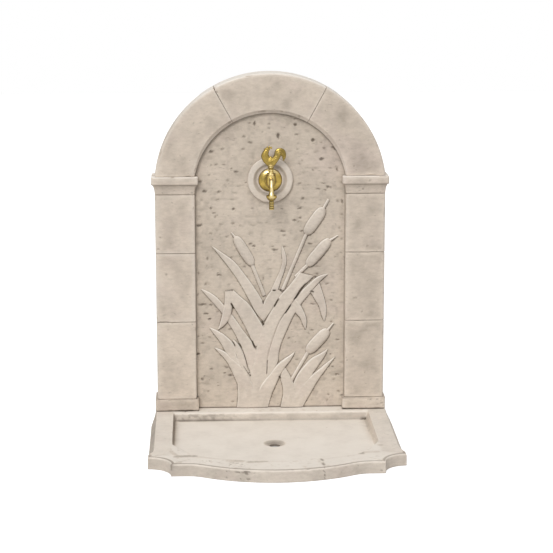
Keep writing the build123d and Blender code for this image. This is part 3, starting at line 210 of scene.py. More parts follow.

# Larger pits of the field: middle x, height above the rim, half width, half height, depth
FIELD_PITS = (
    (-52, 444, 4, 2.5, 2.5), (-42, 439, 5, 2.5, 2.5), (7, 437, 4, 2, 2), (13, 428, 8, 2.5, 2.5),
    (37, 436, 5, 2, 2), (-103, 409, 4, 2, 2), (-165, 406, 3, 4, 2), (-134, 362, 6, 2.5, 2.5),
    (-170, 338, 3, 4, 2), (-109, 335, 5, 3, 1.5), (-67, 384, 4, 3, 2), (-62, 357, 4, 2, 2),
    (-17, 352, 3, 5, 2), (-192, 310, 3, 3, 2), (-180, 283, 12, 2.5, 2.5), (-157, 282, 5, 2, 2.5),
    (-169, 258, 7, 2.5, 2.5), (-160, 244, 5, 2.5, 3), (-2, 376, 7, 2, 1.5), (-187, 367, 3, 3, 2),
    (-19, 388, 3, 2, 1.5), (126, 383, 9, 2, 1.5), (124, 363, 4, 2, 2), (120, 354, 4, 3, 3),
    (150, 336, 5, 2, 2), (160, 291, 4, 3, 2), (113, 281, 8, 2, 2), (162, 233, 4, 3, 2),
    (-162, 194, 4, 2, 2), (-179, 178, 6, 2.5, 2), (-190, 196, 4, 2, 2), (-192, 148, 5, 3, 3.5),
    (-157, 108, 4, 2.5, 2), (-116, 112, 8, 3, 2), (-106, 90, 7, 2.5, 2.5), (-122, 96, 5, 2, 2),
    (-182, 80, 4, 3, 2.5), (-175, 88, 3, 2, 2), (-194, 28, 4, 3, 2), (-166, 46, 4, 2, 2),
    (-101, 17, 4, 2, 2), (-105, 215, 6, 3, 2), (50, 189, 5, 2, 2), (111, 211, 6, 2, 2),
    (160, 145, 4, 2, 2), (179, 184, 5, 2.5, 2), (152, 17, 3, 3, 2), (156, 33, 3, 3, 2),
    (178, 88, 5, 2.5, 2.5), (169, 75, 3, 2, 2), (165, 110, 4, 2, 2), (183, 41, 4, 2.5, 2),
    (-40, 761, 3, 6, 3), (-19, 740, 4, 2, 2), (-3, 760, 5, 2.5, 2), (-3, 748, 4, 2, 2),
    (21, 729, 3, 7, 3.5), (65, 758, 5, 4, 3), (63, 772, 4, 2, 2), (111, 718, 5, 4.5, 3.5),
    (-152, 689, 6, 3, 3), (-123, 695, 5, 2, 2), (-69, 694, 4, 2, 2), (-67, 728, 4, 2.5, 2),
    (163, 699, 6, 3, 2.5), (169, 694, 4, 2.5, 2.5), (140, 697, 4, 2, 2), (134, 668, 6, 3, 2.5),
    (70, 694, 4, 2, 1.5), (-152, 653, 4, 2.5, 2), (-141, 655, 4, 2, 2), (-121, 655, 5, 2, 2),
    (-88, 636, 6, 3, 2.5), (-102, 643, 4, 2, 2), (-183, 610, 5, 3, 2.5), (-171, 585, 6, 3, 3),
    (111, 639, 4, 2, 2), (176, 641, 3, 6, 2.5), (157, 593, 5, 2.5, 2), (145, 586, 4, 2, 2),
    (76, 603, 5, 2.5, 2), (-134, 582, 4, 2, 2), (-54, 763, 3, 3, 2), (187, 605, 4, 2.5, 2),
    (-63, 607, 4, 2, 2), (-155, 539, 3, 2.5, 2.5), (-96, 538, 3.5, 2.5, 3), (-46, 539, 5, 2, 2),
    (30, 538, 5, 2, 2), (77, 538, 6, 2, 2.5), (-138, 562, 6, 2, 1.8), (-99, 562, 6, 2.5, 1.8),
    (-92, 580, 5, 2, 1.5), (-143, 518, 3, 4, 1.8), (-186, 495, 8, 3, 2.8), (-185, 519, 6, 2, 1.6),
    (-129, 498, 5, 2, 1.8), (-97, 499, 5, 2.5, 1.8), (-77, 493, 4, 2, 1.5), (-45, 494, 8, 2, 1.6),
    (63, 507, 6, 2.5, 2.8), (79, 514, 4, 2.5, 2.5), (33, 478, 7, 2.5, 2.4), (85, 564, 6, 4, 2.2),
    (188, 556, 3, 5, 2.4), (177, 557, 4, 2, 1.8), (188, 521, 5, 2.5, 1.8), (-156, 473, 5, 3, 1.8),
    (-115, 464, 4, 3, 1.8), (-182, 448, 6, 2, 1.5), (-16, 443, 4, 2, 1.5), (126, 589, 6, 2, 2),
    (151, 594, 5, 3, 2.4), (183, 485, 3, 3, 1.8), (188, 456, 4, 2.5, 1.8),
)

# Rooster's breast and neck, tail, belly, head, beak, wattle and the comb's three points, in millimetres
# from the handle's axis and foot: spine, half widths and half depths along it, rows, points round
ROOSTER_LIMBS = (
    (((0, -1), (-4.5, 7), (-11.5, 17), (-15, 27), (-13, 35), (-10.5, 41), (-11, 44.5)),
     (6.3, 8.5, 10.2, 10.3, 7.6, 5.8, 2.0), (4.4, 5.0, 5.4, 5.0, 4.3, 3.6, 1.2), 40, 32),
    (((0, -1), (5, 8), (12, 18), (16.5, 27), (20, 34.5), (27.5, 35), (32.5, 29), (33.5, 21), (31.5, 13)),
     (6.3, 8.4, 8.6, 8.6, 10.8, 10.2, 7.0, 4.4, 0.8), (4.4, 5.0, 5.0, 4.4, 3.8, 3.4, 3.0, 2.4, 0.6), 48, 32),
    (((-1.5, 1), (-1, 13), (0, 25)), (6.0, 13.0, 1.5), (4.6, 5.4, 2.6), 28, 32),
    (((-2.5, 42.5), (-9, 43.5), (-15.5, 43.2)), (2.2, 4.8, 2.4), (2.6, 3.9, 2.4), 20, 24),
    (((-13.5, 43.6), (-17, 43.4), (-19.6, 43.0)), (2.4, 1.5, 0.3), (2.2, 1.3, 0.3), 12, 16),
    (((-13.8, 41), (-14.6, 38.6), (-14.4, 36.8)), (1.2, 1.9, 0.5), (1.6, 1.8, 0.5), 12, 16),
    (((0.6, 44), (1.4, 47.5), (2.4, 50.2)), (2.6, 1.9, 0.4), (1.7, 1.4, 0.5), 12, 16),
    (((-3.6, 45), (-3.2, 49.5), (-2.6, 52.8)), (2.9, 2.1, 0.4), (1.7, 1.4, 0.5), 12, 16),
    (((-8.6, 45), (-9, 48.5), (-9.5, 51.6)), (2.9, 2.0, 0.4), (1.7, 1.4, 0.5), 12, 16),
)
WING_FACE_Y, TAIL_FACE_Y, EYE_FACE_Y = 4.9, 3.3, 3.6
CASTING_VOXEL, CASTING_ROUNDS = 0.45, 4

# Stone: its colour's setting and its share of pores. Fitting: colour, metal share, lowest and highest
# roughness, scale of the grain
STONE_FINISHES = {
    "block_stone": ("block_colour", 0.25), "field_stone": ("field_colour", 0.45),
    "leaf_stone": ("leaf_colour", 0.12), "tray_stone": ("tray_colour", 0.3),
}
FITTING_FINISHES = {
    "valve_ceramic": ((0.82, 0.81, 0.78), 0.0, 0.18, 0.3, 60.0),
    "screw_steel": ((0.55, 0.55, 0.56), 1.0, 0.25, 0.42, 220.0),
    "seal_rubber": ((0.028, 0.027, 0.026), 0.0, 0.55, 0.75, 300.0),
}
# Dark brass for dirt and for painted shade
BRASS_DIRT_AND_SHADE_COLOUR = (0.052, 0.038, 0.016)
# The hidden fittings keep their solids
HIDDEN_FITTINGS = {
    "fixed_disc": "valve_ceramic", "moving_disc": "valve_ceramic", "spindle": "tap_brass",
    "stem_o_ring": "seal_rubber", "handle_screw": "screw_steel", "lock_nut": "tap_brass",
    "lock_washer": "tap_brass", "hose_washer": "seal_rubber",
}

# Camera fitted to the stone's edges, in metres and degrees, and the floor's half width and divisions
CAMERA_PLACE = (-0.1841, -4.1369, 1.3034)
CAMERA_DOWN, CAMERA_ROLL, CAMERA_TURN = 11.798, 0.03, -2.631
CAMERA_SENSOR = 36.0
FLOOR_REACH, FLOOR_CELLS = 9.0, 24


def smooth(start, end, x):
    """Smooth step: 0 at start, 1 at end, with 3t^2 - 2t^3 between them."""
    t = np.clip((x - start) / (end - start), 0.0, 1.0)
    return t * t * (3.0 - 2.0 * t)


def bell(x, middle, width, power=2):
    """Bump that is 1 at the middle: e to minus the given power of the distance over the width."""
    return np.exp(-(((x - middle) / width) ** power))


def unit(vectors):
    """Vectors brought to length 1."""
    return vectors / np.linalg.norm(vectors, axis=-1, keepdims=True)


def round_angles(count):
    """Angles of a full turn in radians, without the last."""
    return np.linspace(0.0, 2 * np.pi, count, endpoint=False)


def run_length(points):
    """Distance along a run of points at each of them."""
    return np.concatenate(([0.0], np.cumsum(np.linalg.norm(np.diff(points, axis=0), axis=1))))


def lattice_noise(points, cell, seed):
    """Value noise from -1 to 1: hashed values on a cubic lattice of that cell, blended by smooth steps."""
    q = points / np.asarray(cell, float)
    base = np.floor(q).astype(np.int64)
    t = q - base
    t = t * t * (3.0 - 2.0 * t)
    total = np.zeros(points.shape[:-1])
    for corner in np.ndindex(2, 2, 2):
        at = base + np.array(corner)
        key = at[..., 0] * 73856093 + at[..., 1] * 19349663 + at[..., 2] * 83492791 + seed * 374761393
        key = (key ^ (key >> 13)) * 1274126177
        key = (key ^ (key >> 16)) & 0xFFFF
        share = np.prod(np.where(corner, t, 1.0 - t), axis=-1)
        total += (key / 32767.5 - 1.0) * share
    return total


def fractal(points, cell, seed):
    """Three octaves of lattice noise, each half the size and half the weight of the one before."""
    cell = np.asarray(cell, float)
    octaves = [lattice_noise(points, cell / 2**k, seed + 7 * k) / 2**k for k in range(3)]
    return sum(octaves) / 1.75


def patches(points, cell, seed):
    """Fractal noise brought to 0 to 1."""
    return 0.5 + 0.5 * fractal(points, cell, seed)


def deepest(*maps):
    """The largest of several dirt maps at each point."""
    return np.maximum.reduce(np.broadcast_arrays(*maps))


def through(points, count):
    """Points evenly spaced along the smooth curve through the given ones: cubic Hermite runs over chord
    length, each slope taken from the neighbouring chords."""
    p = np.asarray(points, float)
    t = run_length(p)
    slope = np.gradient(p, t, axis=0, edge_order=min(2, len(p) - 1))
    s = np.linspace(0.0, t[-1], 12 * count)
    k = np.clip(np.searchsorted(t, s, "right") - 1, 0, len(t) - 2)
    h = (t[k + 1] - t[k])[:, None]
    u = (s - t[k])[:, None] / h
    fine = (1 + 2 * u) * (1 - u) ** 2 * p[k] + u * (1 - u) ** 2 * h * slope[k]
    fine += u * u * (3 - 2 * u) * p[k + 1] + u * u * (u - 1) * h * slope[k + 1]
    run = run_length(fine)
    at = np.linspace(0.0, run[-1], count)
    return np.stack([np.interp(at, run, fine[:, axis]) for axis in range(p.shape[1])], -1)


def arc(centre, radius, start, end, count):
    """Points on a circle from one angle to another, in degrees."""
    angle = np.radians(np.linspace(start, end, count))
    return np.stack([centre[0] + radius * np.cos(angle), centre[1] + radius * np.sin(angle)], -1)


def rounded_outline(corners, radii, divisions, arc_steps=6):
    """Closed outline: each corner is an arc of its radius, each run after it has that many divisions."""
    c = np.asarray(corners, float)
    back, ahead = unit(np.roll(c, 1, 0) - c), unit(np.roll(c, -1, 0) - c)
    radii = np.asarray(radii, float)[:, None]
    half = 0.5 * np.arccos(np.clip((back * ahead).sum(1), -1, 1))[:, None]
    bisector = unit(back + ahead)
    start, end = c + back * radii / np.tan(half), c + ahead * radii / np.tan(half)
    centre = c + bisector * radii / np.sin(half)
    turn = np.pi - 2 * half
    f = np.linspace(0.0, 1.0, arc_steps + 1)[:, None]
    parts = []
    for k, count in enumerate(divisions):
        sweep = np.sin((1 - f) * turn[k]) * (start[k] - centre[k])
        sweep += np.sin(f * turn[k]) * (end[k] - centre[k])
        parts.append(centre[k] + sweep / np.sin(turn[k]))
        share = np.linspace(0.0, 1.0, count + 1)[1:-1, None]
        parts.append(end[k] * (1 - share) + start[(k + 1) % len(c)] * share)
    return np.concatenate(parts)


def outline_normals(outline):
    """Outward normals of a counterclockwise closed outline, from its neighbouring points."""
    along = unit(np.roll(outline, -1, 0) - np.roll(outline, 1, 0))
    return np.stack([along[:, 1], -along[:, 0]], -1)


def grid_normals(points):
    """Unit normals of a grid closed round its columns: column step crossed with row step."""
    across = np.roll(points, -1, 1) - np.roll(points, 1, 1)
    normal = np.cross(across, np.gradient(points, axis=0))
    return normal / np.maximum(np.linalg.norm(normal, axis=-1, keepdims=True), 1e-9)


def off_line(x, y, start, end):
    """Distance of each place from a straight line between two points."""
    way = np.subtract(end, start, dtype=float)
    along = np.clip(((x - start[0]) * way[0] + (y - start[1]) * way[1]) / max(way @ way, 1e-9), 0.0, 1.0)
    return np.hypot(x - start[0] - along * way[0], y - start[1] - along * way[1])


def pit_depth(u, v, pits, seed):
    """Depth of pits on a surface with coordinates u, v: each is a bowl over an ellipse whose edge is
    warped by noise."""
    where = np.stack([u, v, np.full_like(u, seed * 3.7)], -1)
    u = u + 2.2 * lattice_noise(where, 6.0, seed) + 1.3 * lattice_noise(where, 2.8, seed + 1)
    v = v + 1.7 * lattice_noise(where, 5.0, seed + 2) + 0.9 * lattice_noise(where, 2.8, seed + 3)
    depth = np.zeros_like(u)
    for middle_u, middle_v, half_u, half_v, deep in pits:
        away = np.sqrt(((u - middle_u) / half_u) ** 2 + ((v - middle_v) / half_v) ** 2)
        depth = np.maximum(depth, deep * (1.0 - smooth(0.35, 1.15, away)))
    return depth


def scattered_pits(count, u_range, v_range, seed, scale=1.0):
    """Seeded pits for pit_depth over a rectangle, wider than tall, most of them small."""
    draw = np.random.default_rng(seed).random((count, 5))
    size = scale * (0.55 + 1.1 * draw[:, 2] ** 3)
    return np.stack([
        u_range[0] + (u_range[1] - u_range[0]) * draw[:, 0],
        v_range[0] + (v_range[1] - v_range[0]) * draw[:, 1],
        size * (2.2 + 2.6 * draw[:, 3]),
        size * (1.3 + 0.7 * draw[:, 4]),
        size * (1.0 + 0.7 * draw[:, 3]),
    ], -1)


def closed(rings, low=None, high=None):
    """Rings with a row added at each end, drawn together to a point, by default the ring's own middle."""
    low = rings[0].mean(0) if low is None else np.asarray(low, float)
    high = rings[-1].mean(0) if high is None else np.asarray(high, float)
    first = np.broadcast_to(low, rings[0].shape)[None]
    last = np.broadcast_to(high, rings[-1].shape)[None]
    return np.concatenate([first, rings, last])


def grid_faces(rows, columns, wrap_rows, start):
    """Four corners of each cell of a grid that is closed round its columns."""
    row, column = np.meshgrid(
        np.arange(rows if wrap_rows else rows - 1), np.arange(columns), indexing="ij")
    below, after = (row + 1) % rows, (column + 1) % columns
    cells = [row * columns + column, row * columns + after, below * columns + after, below * columns + column]
    return np.stack(cells, -1).reshape(-1, 4) + start


def shell_mesh(name, shells, dust_and_top_light=0.0):
    """Mesh of closed grids: points in millimetres, dirt and painted shade per point (below 0 pale wear and
    painted light), and whether rows wrap too. Faces that look up get pale dust and painted top light by the
    share their normals look up."""
    points, dark, faces, start = [], [], [], 0
    for grid, shade, wrap_rows in shells:
        rows, columns = grid.shape[:2]
        points.append(grid.reshape(-1, 3) * MM)
        dark.append(np.broadcast_to(shade, (rows, columns)).reshape(-1))
        faces.append(grid_faces(rows, columns, wrap_rows, start))
        start += rows * columns
    points, dark, faces = np.concatenate(points), np.concatenate(dark), np.concatenate(faces)
    mesh = bpy.data.meshes.new(name)
    mesh.vertices.add(len(points))
    mesh.vertices.foreach_set("co", points.astype(np.float32).ravel())
    mesh.loops.add(faces.size)
    mesh.loops.foreach_set("vertex_index", faces.astype(np.int32).ravel())
    mesh.polygons.add(len(faces))
    mesh.polygons.foreach_set("loop_start", np.arange(0, faces.size, 4, dtype=np.int32))
    mesh.update(calc_edges=True)
    layer = mesh.attributes.new("grime", "FLOAT", "POINT")
    layer.data.foreach_set("value", dark.astype(np.float32))
    tidy_mesh(mesh)
    if dust_and_top_light > 0.0:
        settle_dust_and_top_light(mesh, dust_and_top_light)
    return mesh


def settle_dust_and_top_light(mesh, dust_and_top_light):
    """Pale dust and painted top light: lowers the point attribute where a point's normal looks up and nothing
    dark is there yet.
    """
    up, dirt_and_shade = np.empty(3 * len(mesh.vertices)), np.empty(len(mesh.vertices))
    mesh.vertices.foreach_get("normal", up)
    layer = mesh.attributes["grime"]
    layer.data.foreach_get("value", dirt_and_shade)
    lies = smooth(0.35, 0.95, up[2::3]) * (1.0 - smooth(0.02, 0.2, dirt_and_shade))
    layer.data.foreach_set("value", (dirt_and_shade - dust_and_top_light * lies).astype(np.float32))


def tidy_mesh(mesh):
    """Merges seams and poles, drops the empty faces they leave and turns all faces outwards."""
    work = bmesh.new()
    work.from_mesh(mesh)
    bmesh.ops.remove_doubles(work, verts=work.verts, dist=2e-6)
    bmesh.ops.dissolve_degenerate(work, edges=work.edges, dist=1e-6)
    bmesh.ops.recalc_face_normals(work, faces=work.faces)
    work.to_mesh(mesh)
    work.free()
    mesh.validate()
    mesh.shade_smooth()


def hand_over(name, mesh, node, body, finish, sharp=None):
    """Puts a mesh into the scene as the piece that stands for a CAD node."""
    if sharp is not None:
        mesh.set_sharp_from_angle(angle=math.radians(sharp))
    mesh.materials.append(finish_of(finish))
    piece = bpy.data.objects.new(name, mesh)
    bpy.context.scene.collection.objects.link(piece)
    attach(piece, body)
    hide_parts(node)


def stone_piece(node, shells, dust_and_top_light=0.0, finish="block_stone", sharp=None):
    """Stone of closed grids, with that much pale dust and painted top light on top, for a CAD node."""
    name = node + "_stone"
    hand_over(name, shell_mesh(name, shells, dust_and_top_light), node, FOUNTAIN, finish, sharp)


def brass_piece(node, shells, sharp):
    """Brass fitting of closed grids for a CAD node."""
    name = node + "_brass"
    hand_over(name, shell_mesh(name, shells), node, FOUNTAIN, "tap_brass", sharp)


def cast_together(name, shells):
    """Overlapping shells made one skin by a voxel remesh and softened, as a casting's joins are."""
    rough = bpy.data.objects.new(name + "_rough", shell_mesh(name + "_rough", shells))
    bpy.context.scene.collection.objects.link(rough)
    remesh = rough.modifiers.new("one_skin", "REMESH")
    remesh.mode = "VOXEL"
    remesh.voxel_size = CASTING_VOXEL * MM
    soften = rough.modifiers.new("soften", "SMOOTH")
    soften.factor = 0.5
    soften.iterations = CASTING_ROUNDS
    graph = bpy.context.evaluated_depsgraph_get()
    mesh = bpy.data.meshes.new_from_object(rough.evaluated_get(graph), depsgraph=graph)
    mesh.name = name
    old = rough.data
    bpy.data.objects.remove(rough)
    bpy.data.meshes.remove(old)
    mesh.shade_smooth()
    return mesh


# Materials


def add_node(tree, kind, settings=None, **inputs):
    """Shader node with its settings and its inputs, where an input may be a value or a socket."""
    node = tree.nodes.new("ShaderNode" + kind)
    for key, value in (settings or {}).items():
        setattr(node, key, value)
    for key, value in inputs.items():
        socket = node.inputs[int(key[1:]) if key[0] == "i" and key[1:].isdigit() else key.replace("_", " ")]
        if isinstance(value, bpy.types.NodeSocket):
            tree.links.new(value, socket)
        else:
            socket.default_value = value
    return node


def new_material(name):
    """Empty node material, its tree and the Object coordinates its patterns lie on."""
    material = bpy.data.materials.new(name)
    material.use_nodes = True
    tree = material.node_tree
    tree.nodes.clear()
    return material, tree, add_node(tree, "TexCoord").outputs["Object"]


def surface(tree, **inputs):
    """Principled shader with those inputs, joined to the material's output. Gives both nodes."""
    shader = add_node(tree, "BsdfPrincipled", **inputs)
    return shader, add_node(tree, "OutputMaterial", Surface=shader.outputs["BSDF"])


def noise(tree, place, scale, detail, **shape):
    """Grey socket of a noise texture."""
    return add_node(tree, "TexNoise", Vector=place, Scale=scale, Detail=detail, **shape).outputs["Fac"]


def stretched(tree, place, scale):
    """Coordinates with a scale of their own along each axis."""
    return add_node(tree, "Mapping", Vector=place, Scale=scale).outputs["Vector"]


def ramp(tree, factor, *stops):
    """Colour ramp with the given places and colours, where one number means a grey."""
    node = add_node(tree, "ValToRGB", Fac=factor)
    elements = node.color_ramp.elements
    while len(elements) < len(stops):
        elements.new(0.5)
    for element, (place, colour) in zip(elements, stops):
        element.position = place
        element.color = (*(colour if np.ndim(colour) else (colour,) * 3), 1.0)
    return node.outputs["Color"]


def tinted(tree, factor, base, tint, mode="MIX"):
    """Two colours mixed by a factor, where the second may be a socket or red, green and blue."""
    if not isinstance(tint, bpy.types.NodeSocket):
        tint = (*tint, 1.0)
    node = add_node(tree, "Mix", {"data_type": "RGBA", "blend_type": mode}, i0=factor, i6=base, i7=tint)
    return node.outputs[2]


def combined(tree, a, b, operation="MULTIPLY", clamp=False):
    """Two numbers combined by a Math node."""
    settings = {"operation": operation, "use_clamp": clamp}
    return add_node(tree, "Math", settings, i0=a, i1=b).outputs[0]


def bumped(tree, strength, distance, height):
    """Normal socket of a bump, with its distance in metres."""
    return add_node(tree, "Bump", Strength=strength, Distance=distance, Height=height).outputs["Normal"]


def shaded(colour, share):
    """A colour with its brightness scaled."""
    return tuple(share * channel for channel in colour[:3])


def stone_material(name, colour, look, pores):
    """Cast stone: drifting beige with pinkish and grey patches, fine sand grain, a few stretched pores,
    and the piece's point attribute: dirt and painted shade above 0, pale dusty wear and painted light below
    0."""
    material, tree, place = new_material(name)
    drift = noise(tree, place, 14.0, 6.0, Roughness=0.62)
    body = ramp(tree, drift, (0.28, shaded(colour, 0.86)), (0.5, shaded(colour, 1.0)),
                (0.72, shaded(colour, 1.09)))
    patch = noise(tree, place, 9.0, 3.0, Distortion=0.6)
    blush = ramp(tree, patch, (0.52, 0.0), (0.72, 1.0))
    body = tinted(tree, combined(tree, blush, 0.45), body, look.blush_colour)
    sand = noise(tree, stretched(tree, place, (70.0, 70.0, 150.0)), 1.0, 4.0, Roughness=0.65)
    grain = ramp(tree, sand, (0.3, (0.9, 0.895, 0.885)), (0.62, 1.03))
    body = tinted(tree, 1.0, body, grain, "MULTIPLY")
    fine = noise(tree, place, 950.0, 2.0)
    speck = ramp(tree, fine, (0.25, (0.93, 0.93, 0.92)), (0.6, 1.02))
    body = tinted(tree, 1.0, body, speck, "MULTIPLY")
    pore = noise(tree, stretched(tree, place, (85.0, 85.0, 200.0)), 1.0, 1.0)
    hole = combined(tree, ramp(tree, pore, (0.70, 0.0), (0.82, 1.0)), pores)
    body = tinted(tree, hole, body, look.dirt_and_shade_colour)
    dirt_and_shade = add_node(tree, "Attribute", {"attribute_name": "grime"}).outputs["Fac"]
    bloom = combined(tree, dirt_and_shade, ramp(tree, drift, (0.25, 0.65), (0.65, 1.0)))
    pale = combined(tree, bloom, -1.0, clamp=True)
    body = tinted(tree, pale, body, look.dust_and_light_colour)
    streak = ramp(tree, drift, (0.2, 1.0), (0.75, 0.7))
    body = tinted(tree, combined(tree, dirt_and_shade, streak, clamp=True), body, look.dirt_and_shade_colour)
    coarse = noise(tree, place, 160.0, 5.0, Roughness=0.7)
    height = combined(tree, coarse, hole, "SUBTRACT")
    height = combined(tree, height, combined(tree, fine, 0.25), "ADD")
    surface(tree, Base_Color=body, Roughness=ramp(tree, sand, (0.2, 0.92), (0.8, 0.74)),
            Specular_IOR_Level=0.22, Normal=bumped(tree, 0.4, 0.0013, height))
    return material


def brass_material(name, look):
    """Polished brass: warm metal, smudged gloss, olive tarnish in broad patches, and the piece's point
    attribute: dark dirt and painted shade above 0, rubbed bright wear and painted highlights below 0."""
    material, tree, place = new_material(name)
    smudge = noise(tree, place, 95.0, 5.0, Roughness=0.62)
    metal = ramp(tree, smudge, (0.3, shaded(look.brass_colour, 0.72)), (0.5, look.brass_colour),
                 (0.68, shaded(look.brass_colour, 1.12)))
    tarnish = noise(tree, place, 48.0, 3.0, Distortion=0.8)
    cover = ramp(tree, tarnish, (0.5, 0.0), (0.7, 1.0))
    metal = tinted(tree, combined(tree, cover, 0.5), metal, look.tarnish_colour)
    dirt_and_shade = add_node(tree, "Attribute", {"attribute_name": "grime"}).outputs["Fac"]
    metal = tinted(tree, combined(tree, dirt_and_shade, -1.0, clamp=True), metal, look.rubbed_and_highlight_colour)
    metal = tinted(tree, combined(tree, dirt_and_shade, 1.0, clamp=True), metal, BRASS_DIRT_AND_SHADE_COLOUR)
    scratch = noise(tree, place, 420.0, 3.0)
    surface(tree, Base_Color=metal, Metallic=1.0, Roughness=ramp(tree, smudge, (0.25, 0.36), (0.75, 0.20)),
            Normal=bumped(tree, 0.12, 0.0004, scratch))
    return material


def plain_material(name, colour, metallic, low, high, scale):
    """Small fitting's finish: one colour with fine mottling and a roughness that drifts."""
    material, tree, place = new_material(name)
    grain = noise(tree, place, scale, 4.0)
    tone = ramp(tree, grain, (0.3, shaded(colour, 0.85)), (0.7, shaded(colour, 1.1)))
    surface(tree, Base_Color=tone, Metallic=metallic, Roughness=ramp(tree, grain, (0.3, high), (0.7, low)),
            Normal=bumped(tree, 0.1, 0.0003, grain))
    return material


def finish_of(name):
    """The named material, made on first use from the colours in the panel."""
    scene = bpy.context.scene
    if name in bpy.data.materials:
        return bpy.data.materials[name]
    if name == "tap_brass":
        return brass_material(name, scene.fountain_metal)
    if name in STONE_FINISHES:
        colour, pores = STONE_FINISHES[name]
        return stone_material(name, getattr(scene.fountain_stone, colour), scene.fountain_stone, pores)
    return plain_material(name, *FITTING_FINISHES[name])


# Frame stones


def frame_plan(step, inner_round, front_round):
    """Plan of a frame stone, L-shaped round the panel's edge, stepped out on its three open sides."""
    inner, outer, front = INNER_X - step, OUTER_X + step, SHAFT_FRONT_Y - step
    corners = (
        (inner, FIELD_Y), (inner, front), (outer, front),
        (outer, BACK_Y), (REBATE_X, BACK_Y), (REBATE_X, FIELD_Y))
    radii = (1.0, inner_round, front_round, 2.0, 1.0, 0.6)
    return rounded_outline(corners, radii, (7, 36, 20, 8, 6, 3))


def stone_rows(length, pitch):
    """Distances along a stone, close together at its two eased ends."""
    edge = np.array((0.0, 0.3, 0.8, 1.6, 2.8))
    middle = np.linspace(edge[-1], length - edge[-1], max(3, int(length / pitch)))[1:-1]
    return np.concatenate([edge, middle, length - edge[::-1]])


def end_ease(rows, depth, reach=2.0):
    """Inset of the outline at each row: a quarter round of that depth over the last stretch of an end."""
    near = np.minimum(rows, rows[-1] - rows)
    left = 1.0 - np.clip(near / reach, 0.0, 1.0)
    return depth * (1.0 - np.sqrt(1.0 - left**2)), near


def weathered(grid, arris, seed, wave=0.35, chip=1.5):
    """Worn stone: points move inwards along their normals by slow waves, small dents and, near the
    arrises, chips where noise is high. Gives the new grid and the depth of the chips."""
    dents = wave * patches(grid, 70.0, seed) + 0.16 * (0.5 + 0.5 * lattice_noise(grid, 8.0, seed + 3))
    chips = chip * arris * smooth(0.35, 0.85, lattice_noise(grid, 15.0, seed + 5))
    return grid - grid_normals(grid) * (dents + chips)[..., None], chips


def stone_shell(plans, rows, place, seed, joint_depth, joint_dark, joint_reach=1.5, soil_and_shade=0.0):
    """Stone: a plan carried along its rows by place(), drawn in at its ends, worn, with a few pits. Pale
    along its arrises, dark in its joints, with painted shade on the faces that look into the reveal, deepest
    beside the panel. Ends close on a point that sees the whole plan."""
    ease, near = end_ease(rows, joint_depth)
    normals = np.stack([outline_normals(plan) for plan in plans])
    grid = place(plans - normals * ease[:, None, None], rows)
    corner = 1.0 - np.max(np.abs(normals), axis=-1) ** 6
    arris = np.maximum(corner, (1.0 - smooth(0.5, 4.0, near))[:, None])
    grid, chips = weathered(grid, arris, seed)
    face = grid_normals(grid)
    x, z = grid[..., 0], grid[..., 2]
    pits = scattered_pits(14, (x.min(), x.max()), (z.min(), z.max()), seed + 11, 0.95)
    depth = pit_depth(x, z, pits, seed + 13) * smooth(0.7, 0.95, -face[..., 1])
    grid = grid - face * depth[..., None]
    across, deep = plans[..., 0], plans[..., 1]
    aside = np.minimum(across - across.min(), across.max() - across)
    edge = np.exp(-np.minimum(aside, 1.4 * near[:, None]) / 8.0)
    mottle = patches(grid, 38.0, seed + 21)
    tone = soil_and_shade + 0.3 * (1.0 - edge) * smooth(0.4, 0.9, mottle) - 0.6 * edge * (0.35 + 0.65 * mottle)
    at_joint = np.where(rows < 0.5 * rows[-1], *joint_dark) * (1.0 - smooth(0.2, joint_reach, near))
    # Painted shade on the faces that look into the reveal, darker deep beside the panel
    reveal_shade = smooth(0.75, 0.98, -normals[..., 0]) * (across < REBATE_X - 2.0)
    dark = deepest(
        at_joint[:, None] * (0.55 + 0.45 * fractal(grid, 24.0, seed + 31)),
        0.5 * smooth(0.2, 1.4, depth),
        0.25 * smooth(0.3, 1.3, chips),
        0.52 * reveal_shade * smooth(SHAFT_FRONT_Y + 7.0, FIELD_Y - 3.0, deep))
    tone = np.where(dark > 0.04, np.maximum(dark, tone), tone)
    ends = place(np.broadcast_to(np.array(STONE_KERNEL), (len(rows), 1, 2)), rows)[:, 0]
    return closed(grid, ends[0], ends[-1]), np.pad(tone, ((1, 1), (0, 0)), "edge")


def upright(foot):
    """Placing rule of an upright stone: rows run up from the foot."""
    def place(plan, rows):
        height = np.broadcast_to((foot + rows)[:, None], plan.shape[:2])
        return np.stack([plan[..., 0], plan[..., 1], height], -1)
    return place


def impost_profile():
    """Heights and steps of the impost's moulding: the quarter round of a cavetto, then a slab with eased
    edges."""
    height, step, start = SPRING_Z - SHAFT_TOP_Z, IMPOST_STEP, CAVETTO_HEIGHT
    bend = np.radians(np.linspace(0.0, 90.0, 15))
    cavetto = np.stack([start * np.sin(bend), (step - 1.2) * (1.0 - np.cos(bend))], -1)
    slab = (
        (start + 0.3, step - 0.5), (start + 1.1, step), (start + 5.0, step), (start + 10.0, step),
        (height - 6.0, step), (height - 2.6, step), (height - 1.1, step - 0.5),
        (height - 0.3, step - 1.6), (height, step - 3.2))
    return np.concatenate([cavetto, slab])


def arch_radius(x):
    """Radius of the arch's circle that meets the springing line at that x."""
    return np.hypot(x, ARCH_CENTRE_DROP)


